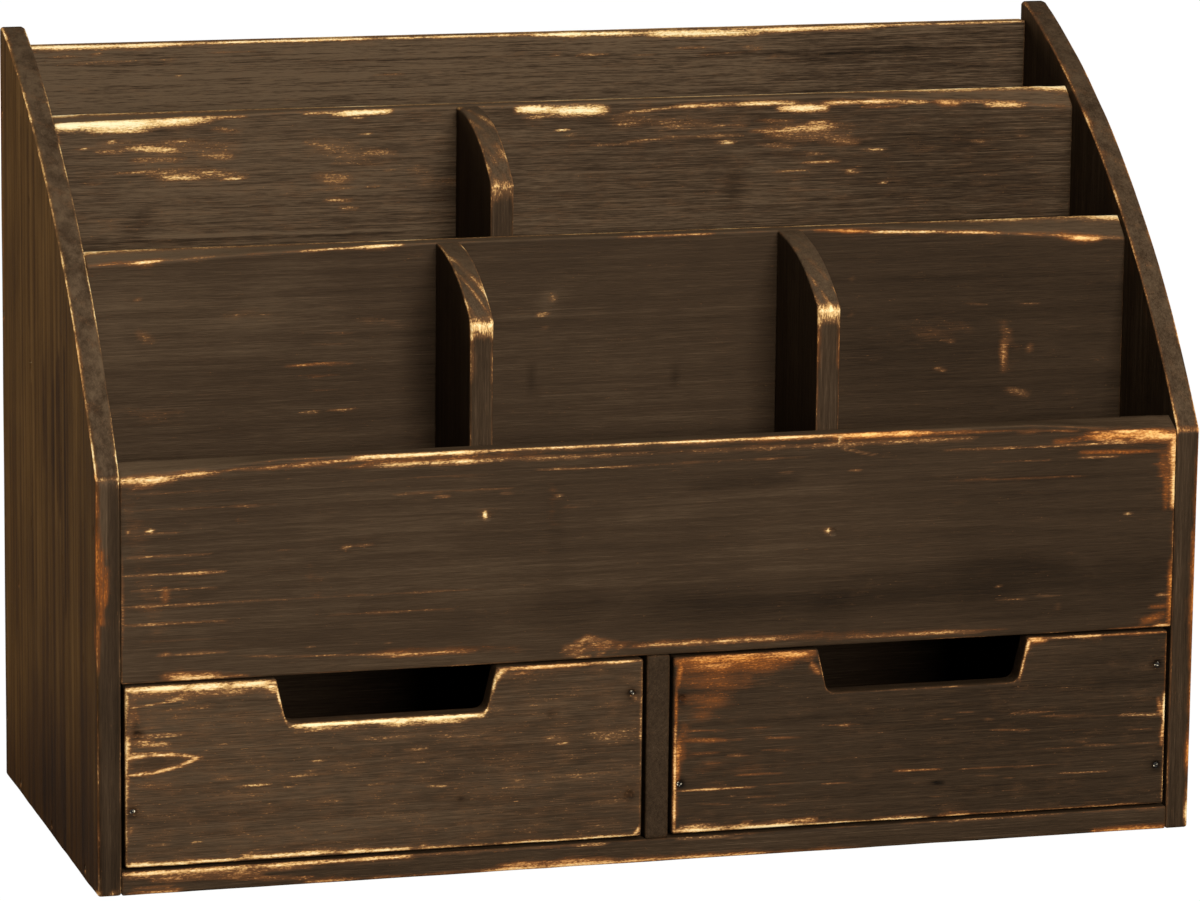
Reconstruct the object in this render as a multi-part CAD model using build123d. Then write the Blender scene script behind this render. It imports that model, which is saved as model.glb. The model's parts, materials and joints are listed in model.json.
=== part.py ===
from build123d import *
from math import hypot, sqrt
import os

# A desk envelope sorter of stained pine boards: three stepped rows of pockets over two drawers.
# Millimetres. X runs along the width, Y from front to back, Z up. The origin is the middle of
# the footprint, on the desk top.

os.makedirs("parts", exist_ok=True)

# ---- Overall sizes
WIDTH = 380.0                # over both side panels
DEPTH = 166.0                # from the drawer fronts to the back of the case
HEIGHT = 265.0               # to the top of the side panels

# ---- Stock
BOARD = 8.0                  # thickness of the planed pine boards
BACK_STOCK = 6.0             # thickness of the back panel
DRAWER_PLY = 3.0             # thickness of the drawer bottoms
EASED_EDGE = 0.8             # radius that sanding leaves on an edge

# ---- Side panel outline, seen from the side
SIDE_FRONT_HEIGHT = 139.5    # straight front edge, up to the start of the curve
SIDE_TOP_FLAT = 5.0          # short level stretch at the top, at the back
SIDE_SWELL = 15.6            # how far the curve bulges over its chord
SIDE_CORNER = 2.0            # radius of the outline's corners

# ---- Rows of pockets, from the front
BAY_HEIGHT = 63.0            # clear height of the two drawer bays
FRONT_POCKET = 46.0          # clear depth of the front row
MIDDLE_POCKET = 47.0         # clear depth of the middle row; the rear row takes what is left
FRONT_PANEL_DROP = 7.1       # top of the front panel under the side curve, at its back face
TIER_DROP = 3.8              # top of each tier board under the side curve, at its back face
BACK_DROP = 6.5              # top of the back panel under the top of the sides

# ---- Sanded ends, where the tops of the boards slope forward to meet the side curve
# Each end: how far it reaches in from the side panel, and how deep it falls at the panel.
PANEL_SANDED = {"left": (60.0, 4.0), "right": (60.0, 4.0)}
FRONT_TIER_SANDED = {"left": (110.0, 3.5), "right": (100.0, 7.0)}
MIDDLE_TIER_SANDED = {"left": (100.0, 2.4), "right": (100.0, 6.4)}

# ---- Dividers between the pockets
UPPER_DIVIDER_X = -38.5
LOWER_DIVIDER_X = {"left": -59.5, "right": 60.0}
UPPER_DIVIDER_FALL, UPPER_DIVIDER_SWELL = 20.0, 5.3
LOWER_DIVIDER_FALL, LOWER_DIVIDER_SWELL = 18.8, 4.3

# ---- Drawers and their running clearances
DRAWER_SIDE_GAP = 1.25       # each side of a drawer
DRAWER_TOP_GAP = 1.0         # over a drawer front
DRAWER_STOP_GAP = 1.0        # between a closed drawer and the back panel
DRAWER_SEAT_GAP = 0.3        # under a drawer's sliding bottom
FRONT_LIFT = 0.8             # how far the front stops short of the sliding bottom's underside
DRAWER_WALL_DROP = 2.0       # drawer sides and back, under the top of the front
NOTCH_TOP_WIDTH = 74.5
NOTCH_FLOOR_WIDTH = 67.7
NOTCH_DEPTH = 15.2
NOTCH_CORNER = 3.5

# ---- Nails
HEAD_RADIUS = 1.0
HEAD_THICKNESS = 0.6
SHANK_RADIUS = 0.6
POINT_LENGTH = 1.5
HEAD_SINK = 0.3              # how far a head is set under the surface
NAIL_FIT = 0.05              # the holes are this much larger in radius
CASE_NAIL = 22.0
DRAWER_NAIL = 20.0
PLY_NAIL = 14.0
SIDE_NAIL_INSET = 22.0       # from a board's ends to its first and last nail
PLY_NAIL_INSET = 15.0
# Each front nail of a drawer: how far in from the drawer's outer or inner edge, and how far
# down from the top or up from the foot of the front. They were driven by hand.
FRONT_NAILS = {
    "left": {"outer": {"top": (4.0, 16.2), "foot": (2.4, 19.1)},
             "inner": {"top": (4.1, 11.5), "foot": (4.6, 14.6)}},
    "right": {"outer": {"top": (3.6, 11.7), "foot": (2.9, 13.7)},
              "inner": {"top": (2.9, 14.5), "foot": (2.5, 17.3)}},
}
PANEL_NAIL_HEIGHT = {"left": 50.0, "right": 39.0}   # into each lower divider, up from the shelf

# ---- Places that follow from the sizes above
INSIDE = WIDTH / 2 - BOARD                   # inner face of a side panel
FRONT = -DEPTH / 2
BACK = DEPTH / 2
BACK_FACE = BACK - BACK_STOCK                # inner face of the back panel
SHELF_UNDER = BOARD + BAY_HEIGHT
SHELF_TOP = SHELF_UNDER + BOARD
FRONT_TIER = FRONT + BOARD + FRONT_POCKET    # front face of the front tier board
MIDDLE_TIER = FRONT_TIER + BOARD + MIDDLE_POCKET
DRAWER_SOLE = BOARD + DRAWER_SEAT_GAP        # underside of a drawer's sliding bottom
DRAWER_FLOOR = DRAWER_SOLE + DRAWER_PLY
FRONT_FOOT = DRAWER_SOLE + FRONT_LIFT        # lower edge of a drawer front
FRONT_TOP = SHELF_UNDER - DRAWER_TOP_GAP
WALL_TOP = FRONT_TOP - DRAWER_WALL_DROP
DRAWER_BACK = BACK_FACE - DRAWER_STOP_GAP
WALLS_FRONT = FRONT + BOARD                  # where a drawer's sides meet its front
WAY = {"left": -1, "right": 1}               # which side of the middle each twin lies on


def side_curve_height(y):
    """Height of the side panels' curved edge at a depth."""
    start_y, end_y = FRONT, BACK - SIDE_TOP_FLAT
    run, rise = end_y - start_y, HEIGHT - SIDE_FRONT_HEIGHT
    chord = hypot(run, rise)
    radius = (chord ** 2 / 4 + SIDE_SWELL ** 2) / (2 * SIDE_SWELL)
    reach = radius - SIDE_SWELL
    centre_y = (start_y + end_y) / 2 + reach * rise / chord
    centre_z = (SIDE_FRONT_HEIGHT + HEIGHT) / 2 - reach * run / chord
    return centre_z + sqrt(radius ** 2 - (y - centre_y) ** 2)


PANEL_TOP = side_curve_height(FRONT + BOARD) - FRONT_PANEL_DROP
FRONT_TIER_TOP = side_curve_height(FRONT_TIER + BOARD) - TIER_DROP
MIDDLE_TIER_TOP = side_curve_height(MIDDLE_TIER + BOARD) - TIER_DROP
BACK_TOP = HEIGHT - BACK_DROP


def board(x_range, y_range, z_range):
    """A plain board between three pairs of limits."""
    (x0, x1), (y0, y1), (z0, z1) = x_range, y_range, z_range
    middle = ((x0 + x1) / 2, (y0 + y1) / 2, (z0 + z1) / 2)
    return Pos(*middle) * Box(x1 - x0, y1 - y0, z1 - z0)


def upright(outline, x_middle):
    """A board that stands front to back, from its outline in Y and Z."""
    face = make_face(Plane.YZ * outline)
    return Pos(x_middle, 0, 0) * extrude(face, amount=BOARD / 2, both=True)


def ease(edges):
    """Round a part's edges as sanding leaves them."""
    return fillet(edges, EASED_EDGE)


# ---- Case

def side_panel(hand):
    """A side panel: straight front and back edges, with one long convex curve between them."""
    start = (FRONT, SIDE_FRONT_HEIGHT)
    end = (BACK - SIDE_TOP_FLAT, HEIGHT)
    outline = Curve() + [
        Line((FRONT, 0), start),
        SagittaArc(start, end, SIDE_SWELL),
        Polyline(end, (BACK, HEIGHT), (BACK, 0), (FRONT, 0)),
    ]
    panel = upright(outline, WAY[hand] * (INSIDE + BOARD / 2))
    corners = panel.edges().filter_by(Axis.X).filter_by(lambda edge: edge.center().Z > BOARD)
    panel = fillet(corners, SIDE_CORNER)
    outer_face = panel.faces().sort_by(Axis.X)[0 if hand == "left" else -1]
    inner_face = panel.faces().sort_by(Axis.X)[-1 if hand == "left" else 0]
    return ease(outer_face.edges() + inner_face.edges())


def sanded_ends(part, front_y, top_z, sanded):
    """Slope the top forward near both ends, where it was sanded down with the side panels."""
    for hand, (run, fall) in sanded.items():
        end = WAY[hand]
        start = Vector(end * (INSIDE - run), front_y, top_z)
        back_corner = Vector(end * INSIDE, front_y + BOARD, top_z)
        front_corner = Vector(end * INSIDE, front_y, top_z - fall)
        slope = (back_corner - start).cross(front_corner - start).normalized()
        upward = slope if slope.Z > 0 else -slope
        part = split(part, bisect_by=Plane(origin=start, z_dir=upward), keep=Keep.BOTTOM)
    return part


def front_panel():
    """The panel over the drawers, which closes the front row of pockets."""
    part = board((-INSIDE, INSIDE), (FRONT, FRONT + BOARD), (SHELF_UNDER, PANEL_TOP))
    lower_edge = part.edges().filter_by(Axis.X).group_by(Axis.Z)[0].sort_by(Axis.Y)[0]
    part = ease(lower_edge)
    return sanded_ends(part, FRONT, PANEL_TOP, PANEL_SANDED)


def tier_board(front_y, top_z, sanded):
    """An upright board across the case, standing on the shelf."""
    part = board((-INSIDE, INSIDE), (front_y, front_y + BOARD), (SHELF_TOP, top_z))
    back_top_edge = part.edges().filter_by(Axis.X).group_by(Axis.Z)[-1].sort_by(Axis.Y)[-1]
    part = ease(back_top_edge)
    return sanded_ends(part, front_y, top_z, sanded)


def divider(x_middle, front_y, back_y, top_z, fall, swell):
    """A pocket divider: its front edge rises straight, then curves back to its tier board."""
    start, end = (front_y, top_z - fall), (back_y, top_z)
    outline = Curve() + [
        Line((front_y, SHELF_TOP), start),
        SagittaArc(start, end, swell),
        Polyline(end, (back_y, SHELF_TOP), (front_y, SHELF_TOP)),
    ]
    part = upright(outline, x_middle)
    across = part.edges().filter_by(Axis.X)
    shoulder = across.sort_by(lambda edge: abs(edge.center().Z - start[1]))[0]
    return fillet(shoulder, SIDE_CORNER)


def back_panel():
    """The thinner panel between the side panels, from the desk to just under their tops."""
    part = board((-INSIDE, INSIDE), (BACK_FACE, BACK), (0, BACK_TOP))
    return ease(part.edges().filter_by(Axis.X).group_by(Axis.Z)[-1])


def front_eased_board(x_range, z_range):
    """A board from the front of the case to the back panel, with its front edges eased."""
    part = board(x_range, (FRONT, BACK_FACE), z_range)
    return ease(part.faces().sort_by(Axis.Y)[0].edges())


def drawer_partition():
    """The upright between the two drawer bays, from the front panel's foot to the back panel."""
    return front_eased_board((-BOARD / 2, BOARD / 2), (BOARD, SHELF_UNDER))


# ---- Drawers

def drawer_span(hand):
    """Inner and outer X of a drawer, and which way its outer end lies."""
    way = WAY[hand]
    inner = way * (BOARD / 2 + DRAWER_SIDE_GAP)
    outer = way * (INSIDE - DRAWER_SIDE_GAP)
    return inner, outer, way


def drawer_front(hand):
    """A drawer front with a finger notch cut from its top edge."""
    inner, outer, way = drawer_span(hand)
    middle = (inner + outer) / 2
    x0, x1 = min(inner, outer), max(inner, outer)
    notch_floor = FRONT_TOP - NOTCH_DEPTH
    outline = Polyline(
        (x0, FRONT_FOOT), (x1, FRONT_FOOT), (x1, FRONT_TOP),
        (middle + NOTCH_TOP_WIDTH / 2, FRONT_TOP), (middle + NOTCH_FLOOR_WIDTH / 2, notch_floor),
        (middle - NOTCH_FLOOR_WIDTH / 2, notch_floor), (middle - NOTCH_TOP_WIDTH / 2, FRONT_TOP),
        (x0, FRONT_TOP), close=True)
    face = make_face(Plane.XZ * outline)
    part = Pos(0, FRONT, 0) * extrude(face, amount=-BOARD)
    floor_corners = part.edges().filter_by(Axis.Y).filter_by(
        lambda edge: abs(edge.center().Z - notch_floor) < EASED_EDGE)
    part = fillet(floor_corners, NOTCH_CORNER)
    return ease(part.faces().sort_by(Axis.Y)[0].edges())


def drawer_walls(hand):
    """The sides, back and bottom of a drawer, by name."""
    inner, outer, way = drawer_span(hand)
    walls = {}
    for place, edge, inward in (("inner", inner, way), ("outer", outer, -way)):
        limits = sorted((edge, edge + inward * BOARD))
        walls[f"side_{place}"] = board(limits, (WALLS_FRONT, DRAWER_BACK), (DRAWER_FLOOR, WALL_TOP))
    across = sorted((inner + way * BOARD, outer - way * BOARD))
    walls["back"] = board(across, (DRAWER_BACK - BOARD, DRAWER_BACK), (DRAWER_FLOOR, WALL_TOP))
    whole = sorted((inner, outer))
    walls["bottom"] = board(whole, (WALLS_FRONT, DRAWER_BACK), (DRAWER_SOLE, DRAWER_FLOOR))
    return walls


# ---- Nails

def nail_shape(length, extra, top):
    """A nail along +Z from the surface it is driven into, or its hole when extra is the fit."""
    seat = HEAD_SINK + HEAD_THICKNESS
    head, shank = HEAD_RADIUS + extra, SHANK_RADIUS + extra
    section = make_face(Plane.XZ * Polyline(
        (0, top), (head, top), (head, seat), (shank, seat),
        (shank, length - POINT_LENGTH), (0, length + extra), close=True))
    return revolve(section, Axis.Z)


def drive(pieces, name, boards, nails, length):
    """Drive nails, each a point on the surface and a direction, and bore the named boards."""
    shapes = []
    for point, direction in nails:
        place = Plane(origin=point, z_dir=direction)
        shapes.append(place * nail_shape(length, 0, HEAD_SINK))
        hole = place * nail_shape(length, NAIL_FIT, -HEAD_SINK)
        for key in boards:
            if hole.bounding_box().overlaps(pieces[key].bounding_box()):
                pieces[key] = pieces[key] - hole
    pieces[name] = pieces.get(name, []) + shapes


def spread(low, high, inset, count):
    """Evenly spaced places between two limits, the first and last an inset from them."""
    step = (high - low - 2 * inset) / (count - 1)
    return [low + inset + step * index for index in range(count)]


def nail_sides(pieces):
    """Nails through each side panel into the ends of the boards."""
    front_fall = max(fall for _, fall in FRONT_TIER_SANDED.values())
    middle_fall = max(fall for _, fall in MIDDLE_TIER_SANDED.values())
    tier_rows = (
        ("front_tier_board", FRONT_TIER + BOARD / 2, FRONT_TIER_TOP - front_fall),
        ("middle_tier_board", MIDDLE_TIER + BOARD / 2, MIDDLE_TIER_TOP - middle_fall),
    )
    rows = [(y, BOARD / 2) for y in spread(FRONT, BACK_FACE, SIDE_NAIL_INSET, 3)]
    rows += [(y, SHELF_TOP - BOARD / 2) for y in spread(FRONT, BACK_FACE, SIDE_NAIL_INSET, 3)]
    rows += [(FRONT + BOARD / 2, z) for z in spread(SHELF_TOP, PANEL_TOP, SIDE_NAIL_INSET, 2)]
    for tier, y, top in tier_rows:
        rows += [(y, z) for z in spread(SHELF_TOP, top, SIDE_NAIL_INSET, 3)]
    rows += [(BACK - BACK_STOCK / 2, z) for z in spread(0, BACK_TOP, SIDE_NAIL_INSET, 4)]
    boards = ["bottom_board", "shelf_board", "front_panel", "back_panel"]
    boards += [tier for tier, y, top in tier_rows]
    for hand, way in WAY.items():
        nails = [((way * WIDTH / 2, y, z), (-way, 0, 0)) for y, z in rows]
        drive(pieces, f"side_nails_{hand}", [f"side_panel_{hand}"] + boards, nails, CASE_NAIL)


def nail_dividers(pieces):
    """Nails through the tier boards into the backs of the dividers, and through the front panel."""
    for hand, x in LOWER_DIVIDER_X.items():
        heights = spread(SHELF_TOP, FRONT_TIER_TOP, SIDE_NAIL_INSET, 2)
        from_behind = [((x, FRONT_TIER + BOARD, z), (0, -1, 0)) for z in heights]
        boards = ["front_tier_board", f"lower_divider_{hand}"]
        drive(pieces, "divider_nails", boards, from_behind, CASE_NAIL)
        from_front = [((x, FRONT, SHELF_UNDER + PANEL_NAIL_HEIGHT[hand]), (0, 1, 0))]
        boards = ["front_panel", f"lower_divider_{hand}"]
        drive(pieces, "front_panel_nails", boards, from_front, CASE_NAIL)
    heights = spread(SHELF_TOP, MIDDLE_TIER_TOP, SIDE_NAIL_INSET, 2)
    nails = [((UPPER_DIVIDER_X, MIDDLE_TIER + BOARD, z), (0, -1, 0)) for z in heights]
    drive(pieces, "divider_nails", ["middle_tier_board", "upper_divider"], nails, CASE_NAIL)


def nail_partition(pieces):
    """Nails into the foot and the top of the partition between the drawers."""
    foot = [((0, y, 0), (0, 0, 1)) for y in spread(FRONT, BACK_FACE, SIDE_NAIL_INSET, 3)]
    pocket_middles = (
        FRONT_TIER - FRONT_POCKET / 2,
        MIDDLE_TIER - MIDDLE_POCKET / 2,
        (MIDDLE_TIER + BOARD + BACK_FACE) / 2,
    )
    top = [((0, y, SHELF_TOP), (0, 0, -1)) for y in pocket_middles]
    drive(pieces, "partition_nails", ["bottom_board", "drawer_partition"], foot, CASE_NAIL)
    drive(pieces, "partition_nails", ["shelf_board", "drawer_partition"], top, CASE_NAIL)


def nail_back(pieces):
    """Nails through the back panel into the back edges of the bottom and the shelf."""
    places = spread(-INSIDE, INSIDE, 2 * SIDE_NAIL_INSET, 4)
    for board_name, z in (("bottom_board", BOARD / 2), ("shelf_board", SHELF_TOP - BOARD / 2)):
        nails = [((x, BACK, z), (0, -1, 0)) for x in places]
        drive(pieces, "back_nails", ["back_panel", board_name], nails, CASE_NAIL)


def nail_drawer(pieces, hand):
    """A drawer's nails: the ones that show in its front, and those that close the box."""
    inner, outer, way = drawer_span(hand)
    prefix = f"drawer_{hand}"
    edges = {"inner": (inner, way), "outer": (outer, -way)}
    for place, (edge, inward) in edges.items():
        marks = FRONT_NAILS[hand][place]
        heights = {"top": FRONT_TOP - marks["top"][1], "foot": FRONT_FOOT + marks["foot"][1]}
        front = [((edge + inward * marks[end][0], FRONT, heights[end]), (0, 1, 0)) for end in marks]
        boards = [f"{prefix}_front", f"{prefix}_side_{place}"]
        drive(pieces, f"{prefix}_front_nails", boards, front, DRAWER_NAIL)
        side = [((edge, DRAWER_BACK - BOARD / 2, z), (inward, 0, 0))
                for z in spread(DRAWER_FLOOR, WALL_TOP, PLY_NAIL_INSET, 2)]
        boards = [f"{prefix}_side_{place}", f"{prefix}_back"]
        drive(pieces, f"{prefix}_box_nails", boards, side, DRAWER_NAIL)
        under = [((edge + inward * BOARD / 2, y, DRAWER_SOLE), (0, 0, 1))
                 for y in spread(WALLS_FRONT, DRAWER_BACK - BOARD, PLY_NAIL_INSET, 3)]
        boards = [f"{prefix}_bottom", f"{prefix}_side_{place}"]
        drive(pieces, f"{prefix}_box_nails", boards, under, PLY_NAIL)
    across = spread(*sorted((inner, outer)), 3 * PLY_NAIL_INSET, 2)
    back = [((x, DRAWER_BACK - BOARD / 2, DRAWER_SOLE), (0, 0, 1)) for x in across]
    drive(pieces, f"{prefix}_box_nails", [f"{prefix}_bottom", f"{prefix}_back"], back, PLY_NAIL)


# ---- Assembly

def build():
    """Every piece by its node name; a group of nails is a list."""
    pieces = {
        "side_panel_left": side_panel("left"),
        "side_panel_right": side_panel("right"),
        "back_panel": back_panel(),
        "bottom_board": front_eased_board((-INSIDE, INSIDE), (0, BOARD)),
        "shelf_board": board((-INSIDE, INSIDE), (FRONT + BOARD, BACK_FACE), (SHELF_UNDER, SHELF_TOP)),
        "front_panel": front_panel(),
        "front_tier_board": tier_board(FRONT_TIER, FRONT_TIER_TOP, FRONT_TIER_SANDED),
        "middle_tier_board": tier_board(MIDDLE_TIER, MIDDLE_TIER_TOP, MIDDLE_TIER_SANDED),
        "upper_divider": divider(
            UPPER_DIVIDER_X, FRONT_TIER + BOARD, MIDDLE_TIER, MIDDLE_TIER_TOP,
            UPPER_DIVIDER_FALL, UPPER_DIVIDER_SWELL),
        "drawer_partition": drawer_partition(),
    }
    for hand, x in LOWER_DIVIDER_X.items():
        pieces[f"lower_divider_{hand}"] = divider(
            x, FRONT + BOARD, FRONT_TIER, FRONT_TIER_TOP, LOWER_DIVIDER_FALL, LOWER_DIVIDER_SWELL)
    for hand in WAY:
        pieces[f"drawer_{hand}_front"] = drawer_front(hand)
        for name, wall in drawer_walls(hand).items():
            pieces[f"drawer_{hand}_{name}"] = wall
        nail_drawer(pieces, hand)
    nail_sides(pieces)
    nail_dividers(pieces)
    nail_partition(pieces)
    nail_back(pieces)
    return pieces


for name, piece in build().items():
    shape = Compound(children=piece) if isinstance(piece, list) else piece
    export_step(shape, f"parts/{name}.step")
    size = shape.bounding_box().size
    print(f"{name:26s} {size.X:7.1f} {size.Y:7.1f} {size.Z:7.1f} mm")
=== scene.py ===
# %% [markdown]
# # A worn pine letter sorter
# This lesson dresses the bare construction of a desk sorter: two curved sides, three rows of
# pockets and two drawers. The real thing is cheap pine, planed to 8 mm, stained nearly black and
# then sanded back along its edges. So almost all of its character is in one finish, and in how
# the sanding followed each board. The construction is loaded first and never moved.

import math

import bpy
import numpy as np
from mathutils import Matrix, Vector
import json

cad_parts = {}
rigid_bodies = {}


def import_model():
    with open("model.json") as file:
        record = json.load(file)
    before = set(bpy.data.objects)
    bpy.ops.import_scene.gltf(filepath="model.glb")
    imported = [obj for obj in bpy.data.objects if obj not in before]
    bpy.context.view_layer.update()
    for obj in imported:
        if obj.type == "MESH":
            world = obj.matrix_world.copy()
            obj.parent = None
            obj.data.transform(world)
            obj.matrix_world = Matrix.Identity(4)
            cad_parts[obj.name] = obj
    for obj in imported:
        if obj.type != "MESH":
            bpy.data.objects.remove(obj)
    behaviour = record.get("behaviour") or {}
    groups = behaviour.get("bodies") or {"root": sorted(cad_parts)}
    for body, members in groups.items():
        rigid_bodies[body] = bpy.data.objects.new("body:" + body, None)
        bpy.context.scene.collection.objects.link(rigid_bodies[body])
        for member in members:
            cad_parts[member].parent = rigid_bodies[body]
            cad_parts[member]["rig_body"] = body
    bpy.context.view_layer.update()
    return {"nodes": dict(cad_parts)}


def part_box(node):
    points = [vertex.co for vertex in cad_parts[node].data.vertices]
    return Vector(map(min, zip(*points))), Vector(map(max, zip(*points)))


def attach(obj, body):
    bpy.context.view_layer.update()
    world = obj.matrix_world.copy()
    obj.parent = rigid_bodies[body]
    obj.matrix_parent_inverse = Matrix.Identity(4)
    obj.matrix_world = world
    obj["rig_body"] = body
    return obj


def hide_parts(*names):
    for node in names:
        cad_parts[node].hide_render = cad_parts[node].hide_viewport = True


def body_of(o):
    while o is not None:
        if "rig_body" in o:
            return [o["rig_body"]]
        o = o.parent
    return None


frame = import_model()
MM = 0.001                   # one millimetre; the tables below are in millimetres

# %% [markdown]
# ## The camera
# The viewpoint decides what shows, so it comes before any piece. It stands two metres away, a
# little to the left and above, with a long lens, which keeps the boards' edges nearly parallel.
# Three turns say where it looks: sideways, down, and a slight tilt of the picture.

# %% Camera
CAMERA_PLACE = Vector((-0.55895, -1.96103, 0.53650))
CAMERA_TURN, CAMERA_DOWN, CAMERA_TILT = (math.radians(a) for a in (15.978, 11.432, 0.633))
LENS, SENSOR = 181.54, 36.0

camera = bpy.data.objects.new("view", bpy.data.cameras.new("view"))
bpy.context.scene.collection.objects.link(camera)
camera.data.lens, camera.data.sensor_width = LENS, SENSOR
turn = Matrix.Rotation(-CAMERA_TURN, 4, "Z")
down = Matrix.Rotation(math.pi / 2 - CAMERA_DOWN, 4, "X")
tilt = Matrix.Rotation(CAMERA_TILT, 4, "Z")
camera.matrix_world = Matrix.Translation(CAMERA_PLACE) @ turn @ down @ tilt
bpy.context.scene.camera = camera
print("lens", LENS, "mm, camera at", tuple(CAMERA_PLACE))

# %% [markdown]
# ## Light and floor
# A dark finish hides easily, so the main light is soft and stands in front, a little to the right
# and above, where the wear can catch it. The inner faces of the dividers and sides then fall into
# shade. A weak lamp overhead lifts the narrow tops, a warm one behind the left side brings out its
# brown, and the world fills in the rest. The floor takes the object's shadow but reads as near white.

# %% Light and floor
def node(tree, kind, inputs=(), **settings):
    """A node with its settings, and its inputs given as values or as sockets to link."""
    made = tree.nodes.new(kind)
    for key, value in settings.items():
        setattr(made, key, value)
    for key, value in dict(inputs).items():
        if isinstance(value, bpy.types.NodeSocket):
            tree.links.new(value, made.inputs[key])
        else:
            made.inputs[key].default_value = value
    return made


LAMP_AIM = Vector((0, 0, 0.12))              # the middle of the sorter


def area_lamp(name, place, size, power, colour=(1.0, 1.0, 1.0)):
    """A square lamp that faces the middle of the sorter."""
    lamp = bpy.data.objects.new(name, bpy.data.lights.new(name, "AREA"))
    bpy.context.scene.collection.objects.link(lamp)
    lamp.data.size, lamp.data.energy, lamp.data.color = size, power, colour
    aim = LAMP_AIM - Vector(place)
    lamp.matrix_world = Matrix.Translation(place) @ aim.to_track_quat("-Z", "Y").to_matrix().to_4x4()


def empty_material(name):
    """A new material and its node tree, cleared for the nodes to come."""
    paint = bpy.data.materials.new(name)
    paint.use_nodes = True
    paint.node_tree.nodes.clear()
    return paint, paint.node_tree


def camera_split(tree, seen, unseen):
    """A shader that shows one thing to the camera and another to the light."""
    rays = node(tree, "ShaderNodeLightPath").outputs["Is Camera Ray"]
    return node(tree, "ShaderNodeMixShader", {0: rays, 1: unseen, 2: seen}).outputs[0]


area_lamp("key", (0.15, -2.3, 0.85), 0.9, 59)
area_lamp("top", (0.1, -0.5, 2.0), 1.0, 9)
area_lamp("side", (-1.7, 0.75, 0.3), 0.6, 22, (1.0, 0.86, 0.66))

world = bpy.data.worlds.new("studio")
bpy.context.scene.world = world
world.use_nodes = True
tree = world.node_tree
tree.nodes.clear()
fill = node(tree, "ShaderNodeBackground", {"Color": (1.0, 0.97, 0.92, 1), "Strength": 0.10})
white = node(tree, "ShaderNodeBackground", {"Color": (1, 1, 1, 1), "Strength": 1.0})
studio = camera_split(tree, white.outputs[0], fill.outputs[0])
node(tree, "ShaderNodeOutputWorld", {"Surface": studio})
bpy.context.scene.view_settings.view_transform = "Standard"

FLOOR_REACH = 6.0
FLOOR_GLOW = 0.96            # how much of the floor that the camera sees is white light of its own
floor_mesh = bpy.data.meshes.new("floor")
corners = [(x * FLOOR_REACH, y * FLOOR_REACH, 0) for x, y in ((-1, -1), (1, -1), (1, 1), (-1, 1))]
floor_mesh.from_pydata(corners, [], [(0, 1, 2, 3)])
floor = bpy.data.objects.new("floor", floor_mesh)
bpy.context.scene.collection.objects.link(floor)
floor_paint, tree = empty_material("floor")
matt = node(tree, "ShaderNodeBsdfDiffuse", {"Color": (0.30, 0.30, 0.29, 1)})
glow = node(tree, "ShaderNodeEmission", {"Color": (1, 1, 1, 1), "Strength": 1.05})
bright = node(tree, "ShaderNodeMixShader", {0: FLOOR_GLOW, 1: matt.outputs[0], 2: glow.outputs[0]})
floor_look = camera_split(tree, bright.outputs[0], matt.outputs[0])
node(tree, "ShaderNodeOutputMaterial", {"Surface": floor_look})
floor_mesh.materials.append(floor_paint)
print("lamps and floor ready")

# %% [markdown]
# ## The stained pine
# One finish covers every board. It is made in three layers. First the wood itself: growth rings
# cut lengthwise, and fine fibres. Then the dark stain, which lies unevenly. Last the wear: each
# board carries two painted values on its points, how far it is sanded (`bare`) and how orange the
# laid-open wood is (`amber`), and streaks along the grain break these up into torn flecks.
# A third value, `shade`, darkens or lightens the stain where hands and tools have been, and also
# carries painted light and shade: lighter tops for the light from above, a shaded foot on the left
# side and a painted shadow beside a divider. A fourth, `warm`, turns it to the browner stain on the
# left side's outer face.

# %% Stain and bare wood
# colours by depth, from where the stain lies deepest, and by how far the bare wood is sanded
STAIN = [(0.0, (0.0055, 0.0036, 0.0020)), (0.35, (0.0245, 0.0142, 0.0070)),
         (0.6, (0.0450, 0.0265, 0.0135)), (1.0, (0.110, 0.070, 0.038))]
WARM_STAIN = [(0.0, (0.010, 0.0028, 0.0002)), (0.35, (0.036, 0.0148, 0.0023)),
              (0.6, (0.064, 0.0313, 0.0065)), (1.0, (0.136, 0.075, 0.025))]
THIN_STAIN = (0.140, 0.078, 0.035)
THIN_AMBER = (0.220, 0.066, 0.014)
WORN_PALE = [(0.0, (0.115, 0.062, 0.028)), (0.20, (0.28, 0.150, 0.060)), (0.42, (0.56, 0.335, 0.125)),
             (0.68, (0.86, 0.62, 0.26)), (1.0, (0.98, 0.87, 0.54))]
WORN_AMBER = [(0.0, (0.100, 0.034, 0.010)), (0.3, (0.25, 0.072, 0.014)), (0.62, (0.62, 0.215, 0.036)),
              (1.0, (0.98, 0.54, 0.13))]
MIDDLE_DEPTH = 0.52          # where an even stain stands between the deepest and the lightest
HAZE_FROM_TO = (0.12, 0.9)   # how far sanded the stain starts to thin, and where it is thinnest
BARE_FROM_TO = (0.52, 0.74)  # how far sanded the wood starts to show, and where all of it does
PALEST = 1.25                # how far sanded the wood is at its palest
ROUGHNESS, LOW_SHEEN, RELIEF_DEPTH = 0.60, 1.12, 0.28 * MM


def ramp(tree, factor, stops):
    """A colour ramp through the given places and colours."""
    made = node(tree, "ShaderNodeValToRGB", {0: factor})
    elements = made.color_ramp.elements
    while len(elements) < len(stops):
        elements.new(0.5)
    for element, (place, colour) in zip(elements, stops):
        element.position, element.color = place, (*colour, 1)
    return made.outputs[0]


def math_node(tree, operation, first, second=0.0):
    """One step of arithmetic on sockets or numbers."""
    return node(tree, "ShaderNodeMath", {0: first, 1: second}, operation=operation).outputs[0]


def plus(tree, first, *others):
    """The sum of sockets or numbers."""
    for other in others:
        first = math_node(tree, "ADD", first, other)
    return first


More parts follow.
